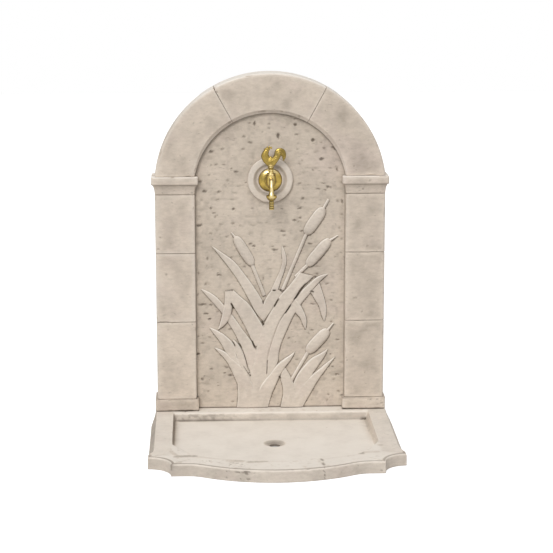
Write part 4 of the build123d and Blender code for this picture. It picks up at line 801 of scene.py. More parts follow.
def arch_plan(chamfer, outer_round):
    """Plan of an arch stone: the frame's plan with radii from the arch's centre in place of x, and a flat
    chamfer along the intrados."""
    inner, outer, rebate = arch_radius(INNER_X), arch_radius(OUTER_X), arch_radius(REBATE_X)
    corners = (
        (inner, FIELD_Y), (inner, SHAFT_FRONT_Y + chamfer), (inner + chamfer, SHAFT_FRONT_Y),
        (outer, SHAFT_FRONT_Y), (outer, BACK_Y), (rebate, BACK_Y), (rebate, FIELD_Y))
    return rounded_outline(corners, (1.0, 1.2, 1.2, outer_round, 2.0, 1.0, 0.6), (7, 6, 36, 20, 8, 6, 3))


def round_arch(start, end):
    """Placing rule of an arch stone: plan x is the radius, rows run from one angle to the other. Without
    a start the stone begins level, on the springing line."""
    def place(plan, rows):
        radius, share = plan[..., 0], (rows / rows[-1])[:, None]
        first = np.arcsin(ARCH_CENTRE_DROP / radius) if start is None else math.radians(start)
        angle = first + (math.radians(end) - first) * share
        return np.stack([radius * np.cos(angle), plan[..., 1], ARCH_Z + radius * np.sin(angle)], -1)
    return place


def mirrored(shell, side):
    """The shell on its own side of the middle."""
    return shell * np.array((side, 1.0, 1.0))


# Basin


def basin_outline():
    """Serpentine plan, counterclockwise from the back's middle round the left: straight back, splayed
    sides, concave scallops at the front corners and a bow eased into the corners by arcs."""
    back_half, side_half, root = BASIN_BACK_HALF, BASIN_SIDE_HALF, SCALLOP_Y
    bow_y, ease_y = FRONT_Y + BOW_RADIUS, root - BOW_EASE
    ease_x = math.sqrt((BOW_RADIUS + BOW_EASE) ** 2 - (ease_y - bow_y) ** 2)
    ease_end = math.degrees(math.atan2(bow_y - ease_y, -ease_x))
    bow_start = math.degrees(math.atan2(ease_y - bow_y, ease_x))
    runs = (
        np.linspace((0, BACK_Y), (back_half, BACK_Y), 60),
        np.linspace((back_half, BACK_Y), (back_half, SPLAY_BACK_Y), 28),
        np.linspace((back_half, SPLAY_BACK_Y), (side_half, SPLAY_FRONT_Y), 20),
        np.linspace((side_half, SPLAY_FRONT_Y), (side_half, root + SCALLOP_RADIUS), 106),
        arc((side_half, root), SCALLOP_RADIUS, 90, 180, 34),
        np.linspace((side_half - SCALLOP_RADIUS, root), (ease_x, root), 13),
        arc((ease_x, ease_y), BOW_EASE, 90, ease_end, 14),
        arc((0, bow_y), BOW_RADIUS, bow_start, -90, 62),
    )
    half = np.concatenate([run[:-1] for run in runs] + [runs[-1][-1:]])
    left = half[1:-1] * np.array((-1.0, 1.0))
    return np.concatenate([left, half[::-1]])


def pocket_outline(back, left, right, cant_y, cant_x, bow_radius):
    """Outline of the pocket at one level: straight back and sides, canted corners, bowed front. A cant
    runs from its y on the side to its x on the bow."""
    meet_y = POCKET_BOW_Y - math.sqrt(bow_radius**2 - cant_x**2)
    bow_start = math.degrees(math.atan2(meet_y - POCKET_BOW_Y, cant_x))
    halves = [np.concatenate([
        np.linspace((0, back), (side, back), 40)[:-1],
        np.linspace((side, back), (side, cant_y), 60)[:-1],
        np.linspace((side, cant_y), (cant_x, meet_y), 30)[:-1],
        arc((0, POCKET_BOW_Y), bow_radius, bow_start, -90, 60),
    ]) for side in (left, right)]
    return np.concatenate([halves[0][1:-1] * np.array((-1.0, 1.0)), halves[1][::-1]])


def at_angles(outline, angles):
    """Points of a star-shaped outline at those angles about the drain."""
    away = outline - DRAIN
    turn = np.arctan2(away[:, 1], away[:, 0])
    return np.stack([np.interp(angles, turn, outline[:, k], period=2 * np.pi) for k in range(2)], -1)


def between(first, last, count, shape=None):
    """Rings from one ring towards another, without the last: shares are even, or bent by a function."""
    share = np.linspace(0.0, 1.0, count + 1)[:-1]
    plan_share, rise_share = (share, share) if shape is None else shape(share)
    plan_share, rise_share = np.asarray(plan_share), np.asarray(rise_share)
    flat = first[None, :, :2] + (last - first)[None, :, :2] * plan_share[:, None, None]
    rise = first[None, :, 2] + (last - first)[None, :, 2] * (
        rise_share if rise_share.ndim == 2 else rise_share[:, None])
    return np.concatenate([flat, rise[..., None]], -1)


def with_height(ring, height):
    """A plan ring lifted to a height."""
    return np.concatenate([ring, np.broadcast_to(np.asarray(height, float), (len(ring),))[:, None]], -1)


def basin_shell():
    """Tray as rings about the drain, outwards over the floor, up the wall, across the rim, down the
    outside and back under: floor, wall, rim and bevel shapes change round the tray."""
    outer = basin_outline()
    away = outer - DRAIN
    angles = np.arctan2(away[:, 1], away[:, 0])
    outward = outline_normals(outer)
    mouth = at_angles(pocket_outline(*POCKET_MOUTH), angles)
    foot = at_angles(pocket_outline(*POCKET_FOOT), angles)
    back = smooth(190.0, 199.0, mouth[:, 1])
    at_wall = outer[:, 1] > BACK_Y - 1.0
    side = smooth(-172.0, -120.0, outer[:, 1]) * (outer[:, 1] < BACK_Y - 1.0)
    bevel = np.clip(np.abs(outer[:, 0]) - SIDE_BEVEL_X, 0.0, SIDE_BEVEL_WIDTH) * side
    run = np.where(at_wall, 1.2, np.maximum(bevel, 5.0 - 3.0 * side))
    drop = np.where(bevel > 4.0, bevel * SIDE_BEVEL_DROP / SIDE_BEVEL_WIDTH, run)
    turn = np.stack([np.cos(angles), np.sin(angles)], -1)
    bore, dish = DRAIN + DRAIN_RADIUS * turn, DRAIN + DISH_RADIUS * turn

    def dished(share):
        return share, 1.0 - (1.0 - share) ** 1.8

    def walled(share):
        s = share[:, None]
        rolled = np.sqrt(1.0 - (1.0 - s) ** 2)
        sloped = 0.45 * s * s * (3.0 - 2.0 * s) + 0.55 * s * s
        return share, rolled * back + sloped * (1.0 - back)

    def arrised(share):
        s = share[:, None]
        sharp = np.clip(bevel / 8.0, 0.0, 1.0)
        return share, (1.0 - np.sqrt(1.0 - 0.999 * s * s)) * (1.0 - sharp) + s * sharp

    # Ring where each stretch begins, its rows and its shape: the named ones, then the two under the tray
    stations = [
        (with_height(bore, 0.0), 4, None),
        (with_height(bore, DISH_LOW_Z), 10, dished),
        (with_height(dish, FLOOR_Z), 46, None),
        (with_height(foot, FLOOR_Z), 20, walled),
        (with_height(mouth, RIM_Z), 40, None),
        (with_height(outer - outward * run[:, None], RIM_Z), 8, arrised),
        (with_height(outer, RIM_Z - drop), 8, None),
        (with_height(outer, 1.5), 1, None),
        (with_height(outer - outward * 1.5, 0.0), 5, None),
    ]
    grid = np.concatenate([
        between(ring, stations[(k + 1) % len(stations)][0], count, shape)
        for k, (ring, count, shape) in enumerate(stations)])
    part = np.repeat(np.arange(len(stations)), [count for _, count, _ in stations])
    return basin_wear(grid, part, back)


def basin_wear(grid, part, back):
    """The tray's wear: shallow waves, chips along the arris, clusters of pits on ledge, rim and front, and
    two old joint lines across the front rim. Gives the worn grid and its dirt with painted shade and
    highlight."""
    x, y, z = grid[..., 0], grid[..., 1], grid[..., 2]
    normal = -grid_normals(grid)
    place = grid - NOISE_SHIFT
    open_top = np.isin(part, (FLOOR, WALL, RIM, ARRIS, OUTSIDE))[:, None]
    standing = smooth(236.0, 226.0, y)
    waves = 0.45 * patches(place, 80.0, 301) + 0.2 * (0.5 + 0.5 * lattice_noise(place, 9.0, 302))
    outer_edge = np.isin(part, (ARRIS, OUTSIDE))[:, None] * smooth(20.0, 30.0, z)
    chips = 2.2 * outer_edge * smooth(0.4, 0.9, lattice_noise(place, 17.0, 303))
    top_pits = np.concatenate([
        scattered_pits(30, (-252, -150), (203, 226), 310, 0.9),
        scattered_pits(16, (-150, 250), (203, 224), 311, 0.6),
        scattered_pits(26, (-118, -40), (-262, -222), 312, 0.9),
        scattered_pits(9, (-200, -160), (-225, -195), 313, 0.9),
        scattered_pits(18, (-240, 240), (-230, 190), 314, 0.55),
        np.array([(143.0, 113.0, 3.2, 3.2, 1.6)]),
        np.array([(-118.0, -250.0 + 9.0 * k, 1.2, 3.4, 1.3) for k in range(-4, 4)]),
        np.array([(107.0, -250.0 + 9.0 * k, 1.6, 3.4, 1.4) for k in range(-4, 4)]),
    ])
    front_pits = np.concatenate([
        scattered_pits(12, (-142, -72), (6, 26), 315, 1.1),
        scattered_pits(10, (-250, 250), (6, 26), 316, 0.6),
        np.array([(107.0, 4.0 + 5.0 * k, 1.8, 3.0, 1.4) for k in range(6)]),
    ])
    looks_up, looks_front = smooth(0.5, 0.85, normal[..., 2]), smooth(0.6, 0.9, -normal[..., 1])
    depth = pit_depth(x, y, top_pits, 320) * looks_up * open_top
    depth += pit_depth(x, z, front_pits, 321) * looks_front * (part == OUTSIDE)[:, None]
    move = (waves * standing + chips + depth) * open_top
    grid = grid - normal * move[..., None]
    return grid, basin_tone(grid, normal, part, back, depth)


def basin_tone(grid, normal, part, back, depth):
    """Dirt and dust of the tray, with painted shade and a painted highlight, from where a point lies on each
    stretch of its surface.
    """
    x, y, z = grid[..., 0], grid[..., 1], grid[..., 2]
    place = grid - NOISE_SHIFT
    worn, fine = patches(place, 30.0, 331), patches(place, 9.0, 333)
    counts = np.bincount(part)
    share = np.concatenate([np.linspace(0.0, 1.0, count) for count in counts])[:, None]
    on = [(part == k)[:, None] for k in range(len(counts))]
    leftward = smooth(60.0, -160.0, x)
    front = smooth(-140.0, -175.0, y)
    ledge, side_wall = on[WALL] * back, on[WALL] * (1.0 - back)
    above = z - FLOOR_Z
    ledge_foot_shade = np.maximum(
        ledge * bell(above, 0.0, 2.2), on[FLOOR] * back * bell(share, 1.0, 0.012))
    ledge_roll = ledge * smooth(13.0, 17.0, z) * smooth(30.5, 24.0, z)
    right_wall = (0.06 + 0.2 * smooth(-60.0, 180.0, y)) * smooth(0.9, 0.2, share)
    corner = bell(x, FLOOR_RIGHT + 1.0, 13.0, 4) * bell(above, 1.0, 3.5) * (y > FLOOR_BACK - 12.0)
    side_off, back_off = np.minimum(x - FLOOR_LEFT, FLOOR_RIGHT - x), np.maximum(FLOOR_BACK - y, 0.0)
    wall_off = np.minimum(side_off, back_off * 0.8)
    wall_contact_shade = on[FLOOR] * np.exp(-np.maximum(wall_off, 0.0) / 12.0) * smooth(-110.0, 60.0, y)
    arris_line = on[RIM] * smooth(0.955, 1.0, share) + on[ARRIS] * smooth(0.75, 0.35, share)
    spot = bell(x, -259.0, 5.0) * bell(y, -236.0, 5.0) * (z > 15.0)
    drain_off = np.hypot(x - DRAIN[0], y - DRAIN[1])
    far_side = 0.5 + 0.5 * (y - DRAIN[1]) / np.maximum(drain_off, 1.0)
    face = 0.08 + 0.12 * smooth(0.3, 0.8, worn) + 0.12 * smooth(-60.0, -170.0, x)
    side_rim = smooth(250.0, 262.0, np.abs(x)) * smooth(-190.0, -150.0, y)
    frame_y = np.where(np.abs(x) > INNER_X - PLINTH_STEP, SHAFT_FRONT_Y - PLINTH_STEP, FIELD_Y)
    dirt_and_shade = [
        # Painted shade as a line at the ledge's foot, streaks of dirt and painted shade on its roll
        ledge_foot_shade * (0.45 + 0.5 * leftward) * (0.7 + 0.3 * worn),
        ledge_roll * smooth(0.25, 0.75, fine) * (0.18 + 0.42 * leftward),
        ledge * smooth(31.2, 23.5, z) * (0.19 + 0.12 * worn),
        # Painted shade on the walls, on the floor beside them and in the back corner on the right
        side_wall * smooth(-100.0, 0.0, y) * np.where(x < 0, 0.65, right_wall),
        1.1 * corner * (on[FLOOR] + on[WALL]),
        wall_contact_shade * (0.1 + 0.12 * worn),
        # Dark line on the front arris, a chipped spot on the left scallop, painted shade with patches on the
        # front face, and painted shade on the left bevel
        arris_line * front * (0.34 + 0.26 * worn),
        0.6 * spot * (on[ARRIS] + on[OUTSIDE]),
        on[OUTSIDE] * smooth(0.5, 0.9, -normal[..., 1]) * face,
        on[ARRIS] * (1.0 - front) * (x < -300.0) * 0.42,
        # Rim: mottling, side rims and the seam under the frame and the panel
        on[RIM] * 0.15 * smooth(0.5, 0.82, fine),
        on[RIM] * side_rim * (0.07 + 0.05 * worn),
        0.9 * on[RIM] * smooth(frame_y - 3.5, frame_y - 1.0, y) * (0.6 + 0.4 * fine),
        # Pits, painted shade in the drain's bore, and the dish darker towards the drain and on its far side
        0.7 * smooth(0.25, 1.2, depth),
        on[BORE] * 0.97,
        on[DISH] * smooth(34.0, 15.0, drain_off) * (0.2 + 0.5 * far_side),
    ]
    top = (on[FLOOR] + on[WALL] + on[RIM]) * smooth(-90.0, -110.0, y)
    for start, end, half, strength in BASIN_MARKS:
        off = off_line(x, y, start, end) + 7.0 * (fine - 0.5)
        mark = 1.0 - smooth(0.2 * half, 1.2 * half, off)
        dirt_and_shade.append(MARK_STRENGTH * top * strength * mark * (0.55 + 0.45 * worn))
    dark = deepest(*dirt_and_shade)
    # Painted highlight along the rounded front arris
    pale = on[ARRIS] * front * smooth(0.75, 0.95, share) * 0.15
    return np.where(dark > 0.04, dark, -pale)


# Panel and relief


def between_edges(left, right, rows, columns):
    """Grid straight across between two smooth edges, finer near them: x, z, share across and width."""
    a, b = through(left, rows), through(right, rows)
    t = 0.5 - 0.5 * np.cos(np.linspace(0.0, np.pi, columns))
    flat = a[:, None] + (b - a)[:, None] * t[None, :, None]
    return flat[..., 0], flat[..., 1], t, np.linalg.norm(b - a, axis=1)[:, None]


def blade_grid(rise, sink, left, right, rows, columns):
    """Leaf between its two edges: a flat plate with a small bevel along each edge, a little hollow
    between, lower towards the tip and sunk at its foot. Gives x, z and height."""
    x, z, t, width = between_edges(left, right, rows, columns)
    inset = np.minimum(t, 1.0 - t)[None] * width
    plate = 0.62 + 0.38 * (1.0 - np.exp(-inset / 2.0)) - 0.07 * np.sin(np.pi * t)[None]
    thin = 0.55 + 0.45 * smooth(0.0, 16.0, width)
    foot = 1.0 - sink * (1.0 - smooth(0.0, 0.22, np.linspace(0.0, 1.0, rows)))[:, None]
    return x, z, rise * plate * thin * foot


def trunk_grid(rise, left, right, rows, columns):
    """Grown-together foot of a clump: crowned patch with leaning flutes that sinks away upwards."""
    x, z, t, _ = between_edges(left, right, rows, columns)
    up = np.linspace(0.0, 1.0, rows)[:, None]
    crown = 0.72 + 0.28 * (1.0 - np.abs(2.0 * t - 1.0) ** 4.0)
    flutes = 0.95 * np.cos(7.0 * np.pi * t[None] + 1.4 * up) * smooth(0.0, 0.5, up)
    fall = 1.0 - 0.5 * smooth(0.35, 1.0, up)
    return x, z, (rise + flutes) * crown[None] * fall


def rod_grid(low, high, radius, rise, columns, flat_top):
    """Half-round rod along a straight line, with a radius across and a rise for each row. Its section is
    a superellipse, flatter on top with a higher power."""
    low, high = np.asarray(low, float), np.asarray(high, float)
    run = (high - low) / np.linalg.norm(high - low)
    side = np.array((-run[1], run[0]))
    bend = np.cos(np.linspace(0.0, np.pi, columns))
    lift = np.maximum(1.0 - np.abs(bend) ** flat_top, 0.0) ** 0.5
    centre = low + (high - low) * np.linspace(0.0, 1.0, len(radius))[:, None]
    flat = centre[:, None] + side * (radius[:, None] * bend[None])[..., None]
    return flat[..., 0], flat[..., 1], rise[:, None] * lift[None]


def seed_head_grids(foot, low, high, tip, radius, tip_radius, fine):
    """Stem, seed head and spike of one bulrush: round rod, plump rod with blunt ends, tapering rod."""
    low, high = np.asarray(low, float), np.asarray(high, float)
    even = np.ones(40 * fine)
    bow = (1.0 - np.abs(2.0 * np.linspace(0.0, 1.0, 60 * fine) - 1.0) ** 3.4) ** 0.42
    s = np.linspace(0.0, 1.0, 16 * fine)
    spike_radius = SPIKE_RADIUS + (tip_radius - SPIKE_RADIUS) * s
    spike_rise = SPIKE_RISE + (SPIKE_TIP_RISE - SPIKE_RISE) * s
    return (
        rod_grid(foot, low * 0.92 + high * 0.08, STEM_RADIUS * even, STEM_RISE * even, 9 * fine, 3.0),
        rod_grid(low, high, radius * bow + 0.01, SEED_HEAD_RISE * bow + 0.01, 21 * fine, 2.8),
        rod_grid(high * 0.9 + low * 0.1, tip, spike_radius, spike_rise, 9 * fine, 3.0),
    )


def relief_grids(blades, trunk, heads, fine):
    """All parts of one relief as x, z, height arrays, coarse for its mesh or fine for the height map."""
    grids = [blade_grid(*blade, 64 * fine, 17 * fine) for blade in blades]
    grids.append(trunk_grid(*trunk, 50 * fine, 31 * fine))
    for head in heads:
        grids += seed_head_grids(*head, fine)
    return grids


def map_cell(x, z):
    """Column and row of the height map nearest to each place."""
    column = np.clip(np.rint(x).astype(int) + MAP_X, 0, 2 * MAP_X)
    return column, np.clip(np.rint(z).astype(int), 0, MAP_Z)


def relief_map():
    """Height of the reliefs over the field on a 1 mm raster: the highest part at each place."""
    heights = np.zeros((2 * MAP_X + 1, MAP_Z + 1))
    for _, blades, trunk, heads in RELIEFS:
        for x, z, h in relief_grids(blades, trunk, heads, 6):
            np.maximum.at(heights, map_cell(x, z), h)
    return heights


def slit_shade(x, z):
    """Painted shade inside the deep gaps: each falls off across its half width from a straight line."""
    shares = [1.0 - smooth(0.7 * half, 1.35 * half, off_line(x, z, *ends)) for *ends, half in RELIEF_SHADED_SLITS]
    return np.max(shares, axis=0)


def crevice_shade(heights, x, z, h):
    """Painted shade at a place of height h: a painted shadow where parts stand higher just above it, painted
    shade where they stand close all round or on most sides a little further off, and the deep slits."""
    def stands(dx, dz, most):
        return np.minimum(heights[map_cell(x + dx, z + dz)], most)

    over = np.max([stands(dx, dz, np.inf) for dx, dz in ((0, 2), (-1, 2), (-1, 3), (0, 3))], axis=0)
    ring = [(2.6 * math.cos(a), 2.6 * math.sin(a)) for a in np.arange(0.0, 6.2, 0.7854)]
    about = np.mean([stands(dx, dz, h + 7) for dx, dz in ring], axis=0)
    wide = np.mean([stands(2.8 * dx, 2.8 * dz, h + 6) for dx, dz in ring], axis=0)
    return deepest(
        0.84 * smooth(0.8, 4.0, over - h), 0.7 * smooth(0.8, 3.6, about - h),
        0.3 * smooth(2.2, 4.6, wide - h), 1.2 * slit_shade(x, z))


def edge_wear_and_highlight(x, z):
    """Pale share along the two edges of a part: pale wear, with a painted highlight that is stronger along
    the edge that looks up.
    """
    from_left, from_right = (np.hypot(x - x[:, k:k + 1], z - z[:, k:k + 1]) for k in (0, x.shape[1] - 1))
    width = np.maximum(from_left[:, -1:], 0.1)
    tilt = (z[:, :1] - z[:, -1:]) / width
    up = np.where(from_left < from_right, tilt, -tilt)
    return smooth(3.2, 1.0, np.minimum(from_left, from_right)) * (0.2 + 0.6 * smooth(-0.2, 0.5, up))


def relief_shell(x, z, h, heights, seed):
    """Closed skin of one part: its top, walls down to below the field, ends drawn together."""
    grid = np.stack([x, FIELD_Y - h, RIM_Z + z], -1)
    grid[..., 1] += 0.3 * fractal(grid, 16.0, seed)
    sunk_left, sunk_right = grid[:, :1].copy(), grid[:, -1:].copy()
    sunk_left[..., 1] = sunk_right[..., 1] = FIELD_Y + RELIEF_SINK
    rings = np.concatenate([sunk_left, grid, sunk_right], 1)
    rings[..., 2] = np.maximum(rings[..., 2], RIM_Z + 0.2)
    first, last = rings[:1].copy(), rings[-1:].copy()
    first[..., 1] = last[..., 1] = FIELD_Y + RELIEF_SINK
    body = np.maximum(h, 0.75 * h.max())
    dark = np.maximum(crevice_shade(heights, x, z, body), 0.9 * smooth(3.4, 1.2, z))
    dark = np.where(dark < 0.05, -edge_wear_and_highlight(x, z), dark)
    return closed(np.concatenate([first, rings, last])), np.pad(dark, ((2, 2), (1, 1)), "edge")


def panel_shell(heights):
    """Slab with a round head: upright columns whose top follows the arch, a front pitted like
    travertine, and a flat back. Dark in the pits, with the relief's shadow and shade painted on."""
    x = np.linspace(-PANEL_X, PANEL_X, 186)
    top = ARCH_Z + np.sqrt(arch_radius(PANEL_X) ** 2 - x**2)
    z = RIM_Z + (top - RIM_Z)[:, None] * np.linspace(0.0, 1.0, 372)[None]
    across = np.broadcast_to(x[:, None], z.shape)
    where = np.stack([across, np.full_like(z, FIELD_Y), z], -1)
    high = z - RIM_Z
    pits = np.concatenate([
        np.array(FIELD_PITS, float),
        scattered_pits(46, (-195, 195), (5, 560), 401, 1.1),
        scattered_pits(40, (-190, 190), (520, 785), 402, 1.25),
    ])
    pits[:, 2:4] *= 1.4
    depth = pit_depth(across, high, pits, 403)
    rough = 0.5 * patches(where, (60.0, 60.0, 40.0), 404)
    scars = 0.7 * smooth(0.25, 0.9, lattice_noise(where, (24.0, 24.0, 9.0), 405))
    scars += 0.35 * smooth(0.2, 0.9, lattice_noise(where, (9.0, 9.0, 4.0), 406))
    covered = smooth(0.5, 2.0, heights[map_cell(across, high)])
    front = FIELD_Y + rough + (scars + depth) * (1.0 - covered)
    blotch = smooth(0.1, 0.8, lattice_noise(where, (11.0, 11.0, 13.0), 407))
    blotch = blotch * (0.4 + 0.6 * smooth(-0.4, 0.5, lattice_noise(where, 3.6, 408)))
    under_arch = np.where(z > SPRING_Z, arch_radius(INNER_X) - np.hypot(across, z - ARCH_Z), np.inf)
    edge = np.minimum(INNER_X - np.abs(across), under_arch)
    dark = deepest(
        0.95 * smooth(0.3, 3.2, depth), 0.3 * smooth(0.3, 1.0, scars), 0.2 * blotch,
        crevice_shade(heights, across, high, np.zeros_like(high)),
        0.36 * smooth(3.0, 0.5, edge), 0.85 * smooth(3.8, 1.4, high))
    face = np.stack([across, front, z], -1)
    back_top, back_foot = face[:, -1:].copy(), face[:, :1].copy()
    back_top[..., 1] = back_foot[..., 1] = PANEL_BACK_Y
    rings = np.concatenate([face, back_top, back_foot], 1)
    return closed(rings), np.pad(dark, ((1, 1), (0, 2)), "edge")


# Boss and brass


def turned(profile, axis, count, base):
    """Profile of (distance along the axis, radius) turned about an axis through base: Y means forwards
    from the field, Z means up."""
    far, out = (column[:, None] for column in np.asarray(profile, float).T)
    angle = round_angles(count)
    c, s = out * np.cos(angle), out * np.sin(angle)
    if axis == "Y":
        grid = np.stack([c, np.broadcast_to(-far, c.shape), s], -1)
    else:
        grid = np.stack([c, s, np.broadcast_to(far, c.shape)], -1)
    return grid + np.asarray(base, float)


def soft_profile(corners, radii, steps=4):
    """Open profile whose inner corners are rounded by arcs of the given radii (0 keeps the corner)."""
    c = np.asarray(corners, float)
    out = [c[:1]]
    for k in range(1, len(c) - 1):
        if radii[k] <= 0:
            out.append(c[k:k + 1])
            continue
        back, ahead = c[k - 1] - c[k], c[k + 1] - c[k]
        limit = 0.49 * min(np.linalg.norm(back), np.linalg.norm(ahead))
        back, ahead = back / np.linalg.norm(back), ahead / np.linalg.norm(ahead)
        half = 0.5 * math.acos(float(np.clip(back @ ahead, -0.9999, 0.9999)))
        cut = min(radii[k] / math.tan(half), limit)
        a, b = c[k] + back * cut, c[k] + ahead * cut
        t = np.linspace(0.0, 1.0, steps + 1)[:, None]
        out.append((1 - t) ** 2 * a + 2 * t * (1 - t) * c[k] + t * t * b)
    out.append(c[-1:])
    return np.concatenate(out)


def path_sides(path):
    """Unit vectors to the left of a flat path at each of its points."""
    along = unit(np.gradient(path, axis=0))
    return np.stack([-along[:, 1], along[:, 0]], -1)


def swept_tube(path, radii, count):
    """Round tube along a path in the plane of the spout (y, z), closed at both ends."""
    angle = round_angles(count)
    flat = path[:, None] + path_sides(path)[:, None] * (radii[:, None] * np.sin(angle))[..., None]
    x = radii[:, None] * np.cos(angle)
    return closed(np.concatenate([x[..., None], flat], -1))


def limb(spine, widths, depths, rows, around, middle_y=0.0):
    """Limb of the cast figure: an ellipse carried along a spine in the figure's plane, with half width
    and half depth blended along it, ends drawn together."""
    spine = np.asarray(spine, float)
    line = through(spine, rows)
    share = np.linspace(0.0, 1.0, rows)
    knots = run_length(spine)
    knots /= knots[-1]
    width, depth = np.interp(share, knots, widths), np.interp(share, knots, depths)
    angle = round_angles(around)
    flat = line[:, None] + path_sides(line)[:, None] * (width[:, None] * np.cos(angle))[..., None]
    y = VALVE_Y + middle_y + depth[:, None] * np.sin(angle)
    grid = np.stack([flat[..., 0], y, ROOSTER_FOOT_Z + flat[..., 1]], -1)
    return closed(grid)


def painted_front_light(count, highlight, flank_shade):
    """Painted light round a turned or swept piece: a painted highlight along its front, painted shade on its
    flanks and behind.
    """
    front = -np.sin(round_angles(count))
    return flank_shade * smooth(0.7, 0.1, front) - highlight * smooth(0.72, 0.97, front)


def cast_tarnish_and_painted_light(mesh):
    """Tarnish and painted light of the cast figure: dull all over, painted shade where the normal looks
    aside, darker on the tail, and at the foot a painted highlight where it looks up and painted shade under.
    """
    count = len(mesh.vertices)
    normal, place = np.empty(3 * count), np.empty(3 * count)
    mesh.vertices.foreach_get("normal", normal)
    mesh.vertices.foreach_get("co", place)
    aside = 1.0 - smooth(0.45, 0.95, np.abs(normal[1::3]))
    high = place[2::3] / MM - ROOSTER_FOOT_Z
    dirt_and_shade = 0.3 + 0.4 * aside + 0.16 * smooth(14.0, 26.0, place[0::3] / MM)
    dirt_and_shade = np.where(high < 3.0, np.where(normal[2::3] > 0.2, -0.6, 0.5), dirt_and_shade)
    layer = mesh.attributes.get("grime") or mesh.attributes.new("grime", "FLOAT", "POINT")
    layer.data.foreach_set("value", dirt_and_shade.astype(np.float32))


def threaded(start, end, radius):
    """Profile of a straight thread: radius falls by the thread's depth and comes back once a pitch."""
    count = int((end - start) / THREAD_PITCH) * 4
    far = np.linspace(start, end, count + 1)
    wave = 0.5 - 0.5 * np.cos(2 * np.pi * (far - start) / THREAD_PITCH)
    return np.stack([far, radius - THREAD_DEPTH * wave], -1)


def boss_shell():
    """Roundel behind the tap: a round edge, a cove with painted shade in its dip, a seat for the rosette.
    Painted shade where it meets the field and at the rosette's edge; elsewhere pale, with painted shade
    darker below than above."""
    edge = soft_profile(
        ((-1.0, 59.0), (14.0, 59.0), (14.0, 44.0), (9.6, 38.0), (11.2, 34.4), (11.2, 31.5), (9.8, 30.0)),
        (0, 5.0, 3.5, 3.5, 0.8, 0.8, 0), 6)
    cove = np.concatenate([edge, ((9.8, 12.0), (-1.0, 12.0))])
    far, out = cove.T
    grid = turned(cove, "Y", 160, TAP_BASE)
    grid[..., 1] += 0.5 * patches(grid, 18.0, 601) * smooth(0.0, 4.0, far)[:, None]
    dip = bell(out, 38.6, 4.6, 4) * (far > 5.0)
    foot = smooth(3.0, 0.0, far) * (out > 40.0)
    tone = deepest(0.42 * dip, 0.85 * foot, 0.8 * bell(out, 30.0, 1.0))[:, None]
    low = smooth(-5.0, -45.0, grid[..., 2] - TAP_Z)
    return grid, np.where(tone > 0.05, tone, 0.3 * low - 0.36), True


def rosette_shell():
    """Domed cover plate: an elliptic dome with a rim, with painted shade near the shank and below, and a
    painted highlight above.
    """
    dome = np.radians(np.linspace(6.0, 82.0, 14))
    cap = np.stack([11.0 + 7.6 * np.sin(dome), 14.5 + 15.6 * np.cos(dome)], -1)
    rim, throat = ((9.9, 29.6), (10.3, 30.4), (11.2, 30.4)), ((18.9, 14.2), (18.9, 11.3), (9.9, 11.3))
    profile = np.concatenate([rim, cap, throat])
    grid = turned(profile, "Y", 128, TAP_BASE)
    lift = grid[..., 2] - TAP_Z
    dark = (0.6 * smooth(19.0, 14.0, profile[:, 1]) + 0.5 * (profile[:, 0] < 10.6))[:, None]
    return grid, dark + 0.45 * smooth(-6.0, -27.0, lift) - 0.55 * smooth(12.0, 25.0, lift), True


def tap_body_shells():
    """Threaded shank with its collar and neck, valve chamber with a round foot, and the spout's tube: out
    from the chamber, round a bend and down to a flared end."""
    shank = np.concatenate([
        ((-52.5, 7.2), (-52.5, 9.6), (-51.6, 10.4)),
        threaded(-51.4, -37.0, 10.4),
        ((-36.6, 10.9),), threaded(-36.0, 8.0, 10.95),
        ((9.0, 10.95), (19.0, 10.95), (19.0, 13.0), (19.5, 13.5), (21.5, 13.5), (22.0, 13.0), (22.2, 10.6),
         (23.0, 9.6), (25.0, 9.0), (31.0, 8.8), (33.0, 9.3), (34.4, 10.2), (36.0, 10.2), (37.4, 9.4),
         (39.0, 9.0), (52.0, 9.0), (52.0, 7.2)),
    ])
    valve = soft_profile(
        ((-12.4, 0.01), (-12.4, 3.0), (-10.6, 6.8), (-6.2, 10.9), (0.0, 12.4), (14.5, 12.4), (15.0, 12.0),
         (15.6, 12.0), (16.1, 12.5), (17.4, 12.5), (18.0, 12.0), (18.0, 0.01)),
        (0, 1, 6, 6, 4, 0.3, 0.3, 0.3, 0.3, 0.5, 0.4, 0), 5)
    level = TAP_Z + 9.0
    flare = np.array((
        (13.0, 5.5), (16.0, 5.5), (18.5, 5.6), (20.5, 6.0), (23.0, 6.9), (25.4, 7.8), (27.0, 8.3),
        (27.8, 8.3), (34.5, 8.3)))
    path = np.concatenate([
        np.linspace((VALVE_Y, level), (VALVE_Y - 15.0, level), 14),
        arc((VALVE_Y - 16.0, level - 20.0), 20.0, 90, 180, 28),
        [(SPOUT_Y, TAP_Z - drop) for drop in flare[:, 0]]])
    radii = np.full(len(path), 5.5)
    radii[-len(flare):] = flare[:, 1]
    return [
        (turned(shank, "Y", 72, TAP_BASE), 0.3, True),
        (turned(valve, "Z", 72, VALVE_BASE), painted_front_light(72, 0.3, 0.55), False),
        (swept_tube(path, radii, 48), painted_front_light(48, 0.85, 0.35), False),
    ]


